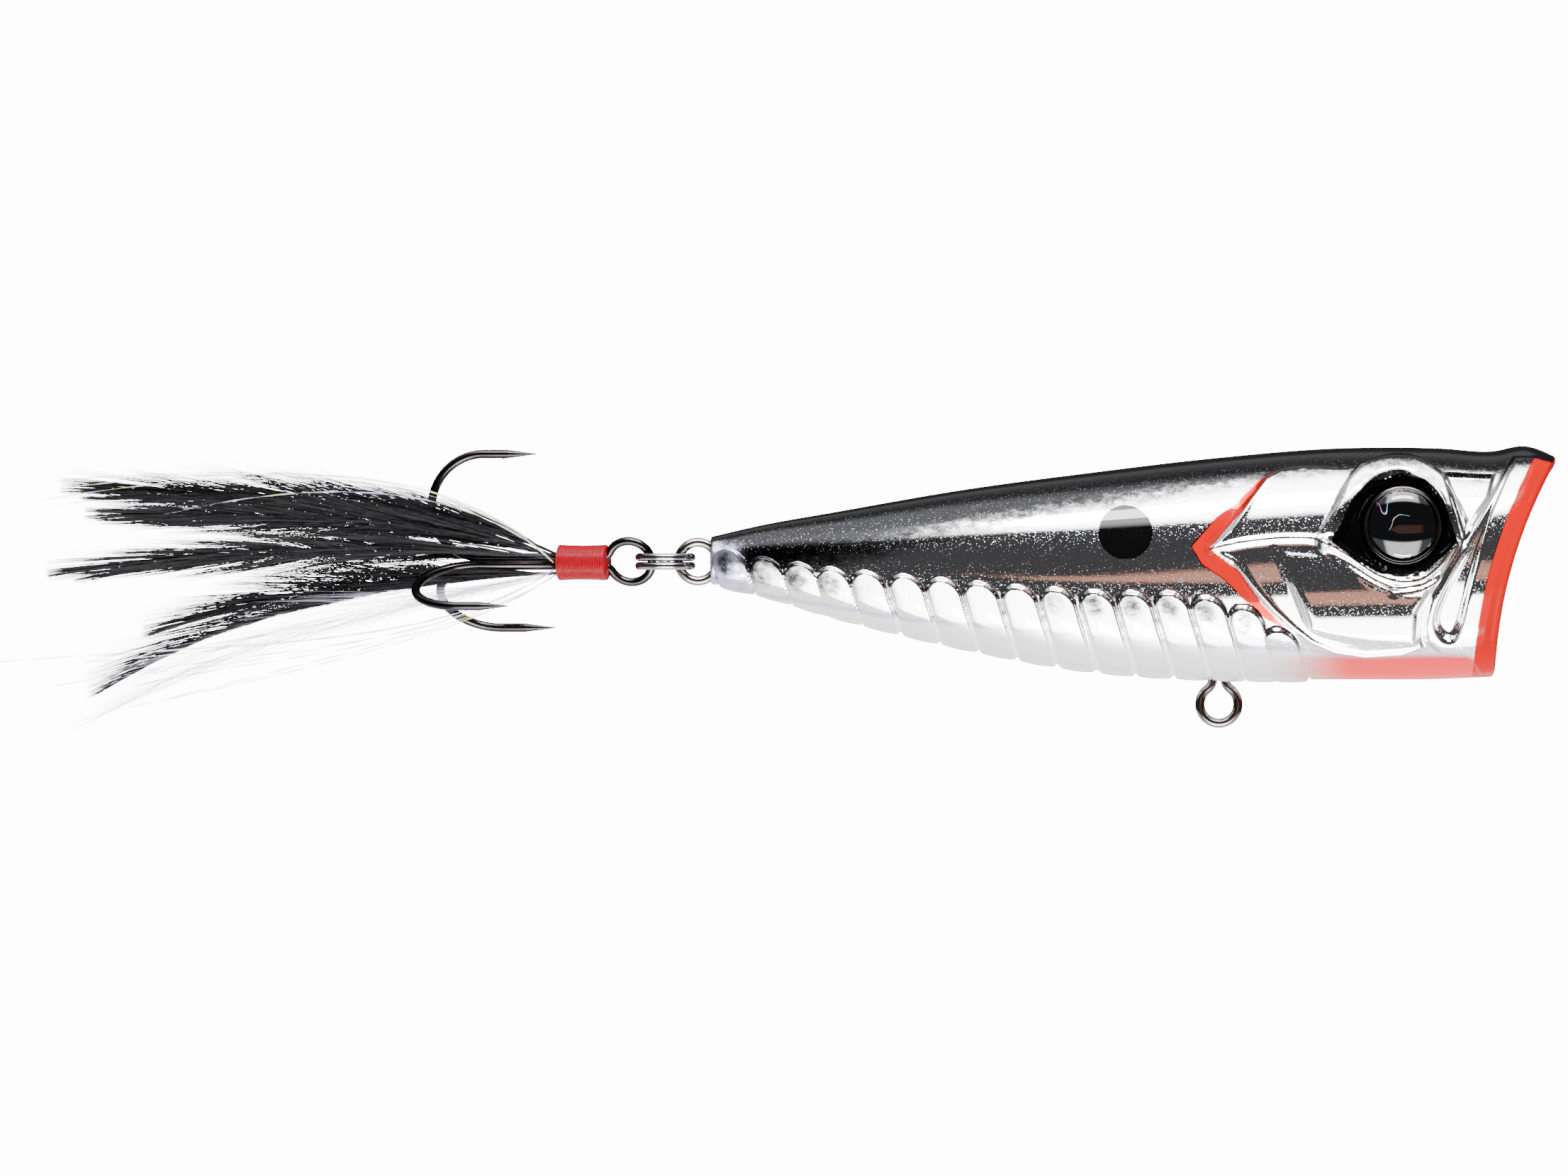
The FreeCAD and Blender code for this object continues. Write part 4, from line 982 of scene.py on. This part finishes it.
def place_camera():
    """A long lens square to the flank, so the side shows with almost no perspective."""
    camera = bpy.data.cameras.new("camera")
    camera.lens, camera.sensor_width = LENS, SENSOR
    view = bpy.data.objects.new("camera", camera)
    view.location = (CENTRE.x + CAMERA_OFFSET[0], -DISTANCE, CENTRE.z + CAMERA_OFFSET[1])
    view.rotation_euler = (math.pi / 2, 0, 0)
    bpy.context.scene.collection.objects.link(view)
    bpy.context.scene.camera = view


# ---------------------------------------------------------------- build

surroundings()
place_lamps()
lay_floor()
place_camera()

plating = plated_abs()
# Drawn stainless wire, polished stainless and black nickel plate over steel: each keeps a sharp
# reflection with a faint unevenness. The ballast is turned brass, duller than the rest.
bright_wire = simple_metal("stainless_spring_wire", "#86827F", 0.12)
ring_steel = simple_metal("polished_stainless", "#98969A", 0.14)
black_nickel = simple_metal("black_nickel_plate", "#3A3638", 0.14)
brass = simple_metal("turned_brass", "#C8A24A", 0.25)
resin = eye_resin()
thread = wound_nylon()
black_feather = cock_hackle("black_cock_hackle", "#060607", "#39393C", 1.0)
white_feather = cock_hackle("white_cock_hackle", "#C9C0E6", "#FFFFFF", 0.24)
film = flash_film()

for side, hand in (("right", -1), ("left", 1)):
    hull_piece(side, hand, plating)
    eye_dome(side, hand, resin)
    smooth_copy("eye_disc_" + side, "eye_foil_" + side, resin, "lure")
for node in ("line_tie_wire", "belly_hanger_wire", "tail_hanger_wire"):
    smooth_copy(node, node.replace("_wire", "_spring_wire"), bright_wire, "lure")
smooth_copy("ballast_weight", "ballast_slug", brass, "lure")
for place in ("front", "rear"):
    smooth_copy("rattle_ball_" + place, "rattle_shot_" + place, bright_wire, place + "_rattle")
split_ring(ring_steel)
for node in ("treble_double_wire", "treble_third_hook"):
    smooth_copy(node, node.replace("treble_", "plated_"), black_nickel, "treble")
thread_wrap(thread)
# The seeds keep each feather and strand the same from run to run.
for number, values in enumerate(BLACK_HACKLES, start=1):
    hackle_piece("black", number, values, black_feather, 400, 10 + number)
for number, values in enumerate(WHITE_HACKLES, start=1):
    hackle_piece("white", number, values, white_feather, 60, 40 + number)
for number, values in enumerate(TINSELS, start=1):
    tinsel_piece(number, values, film, 70 + number)
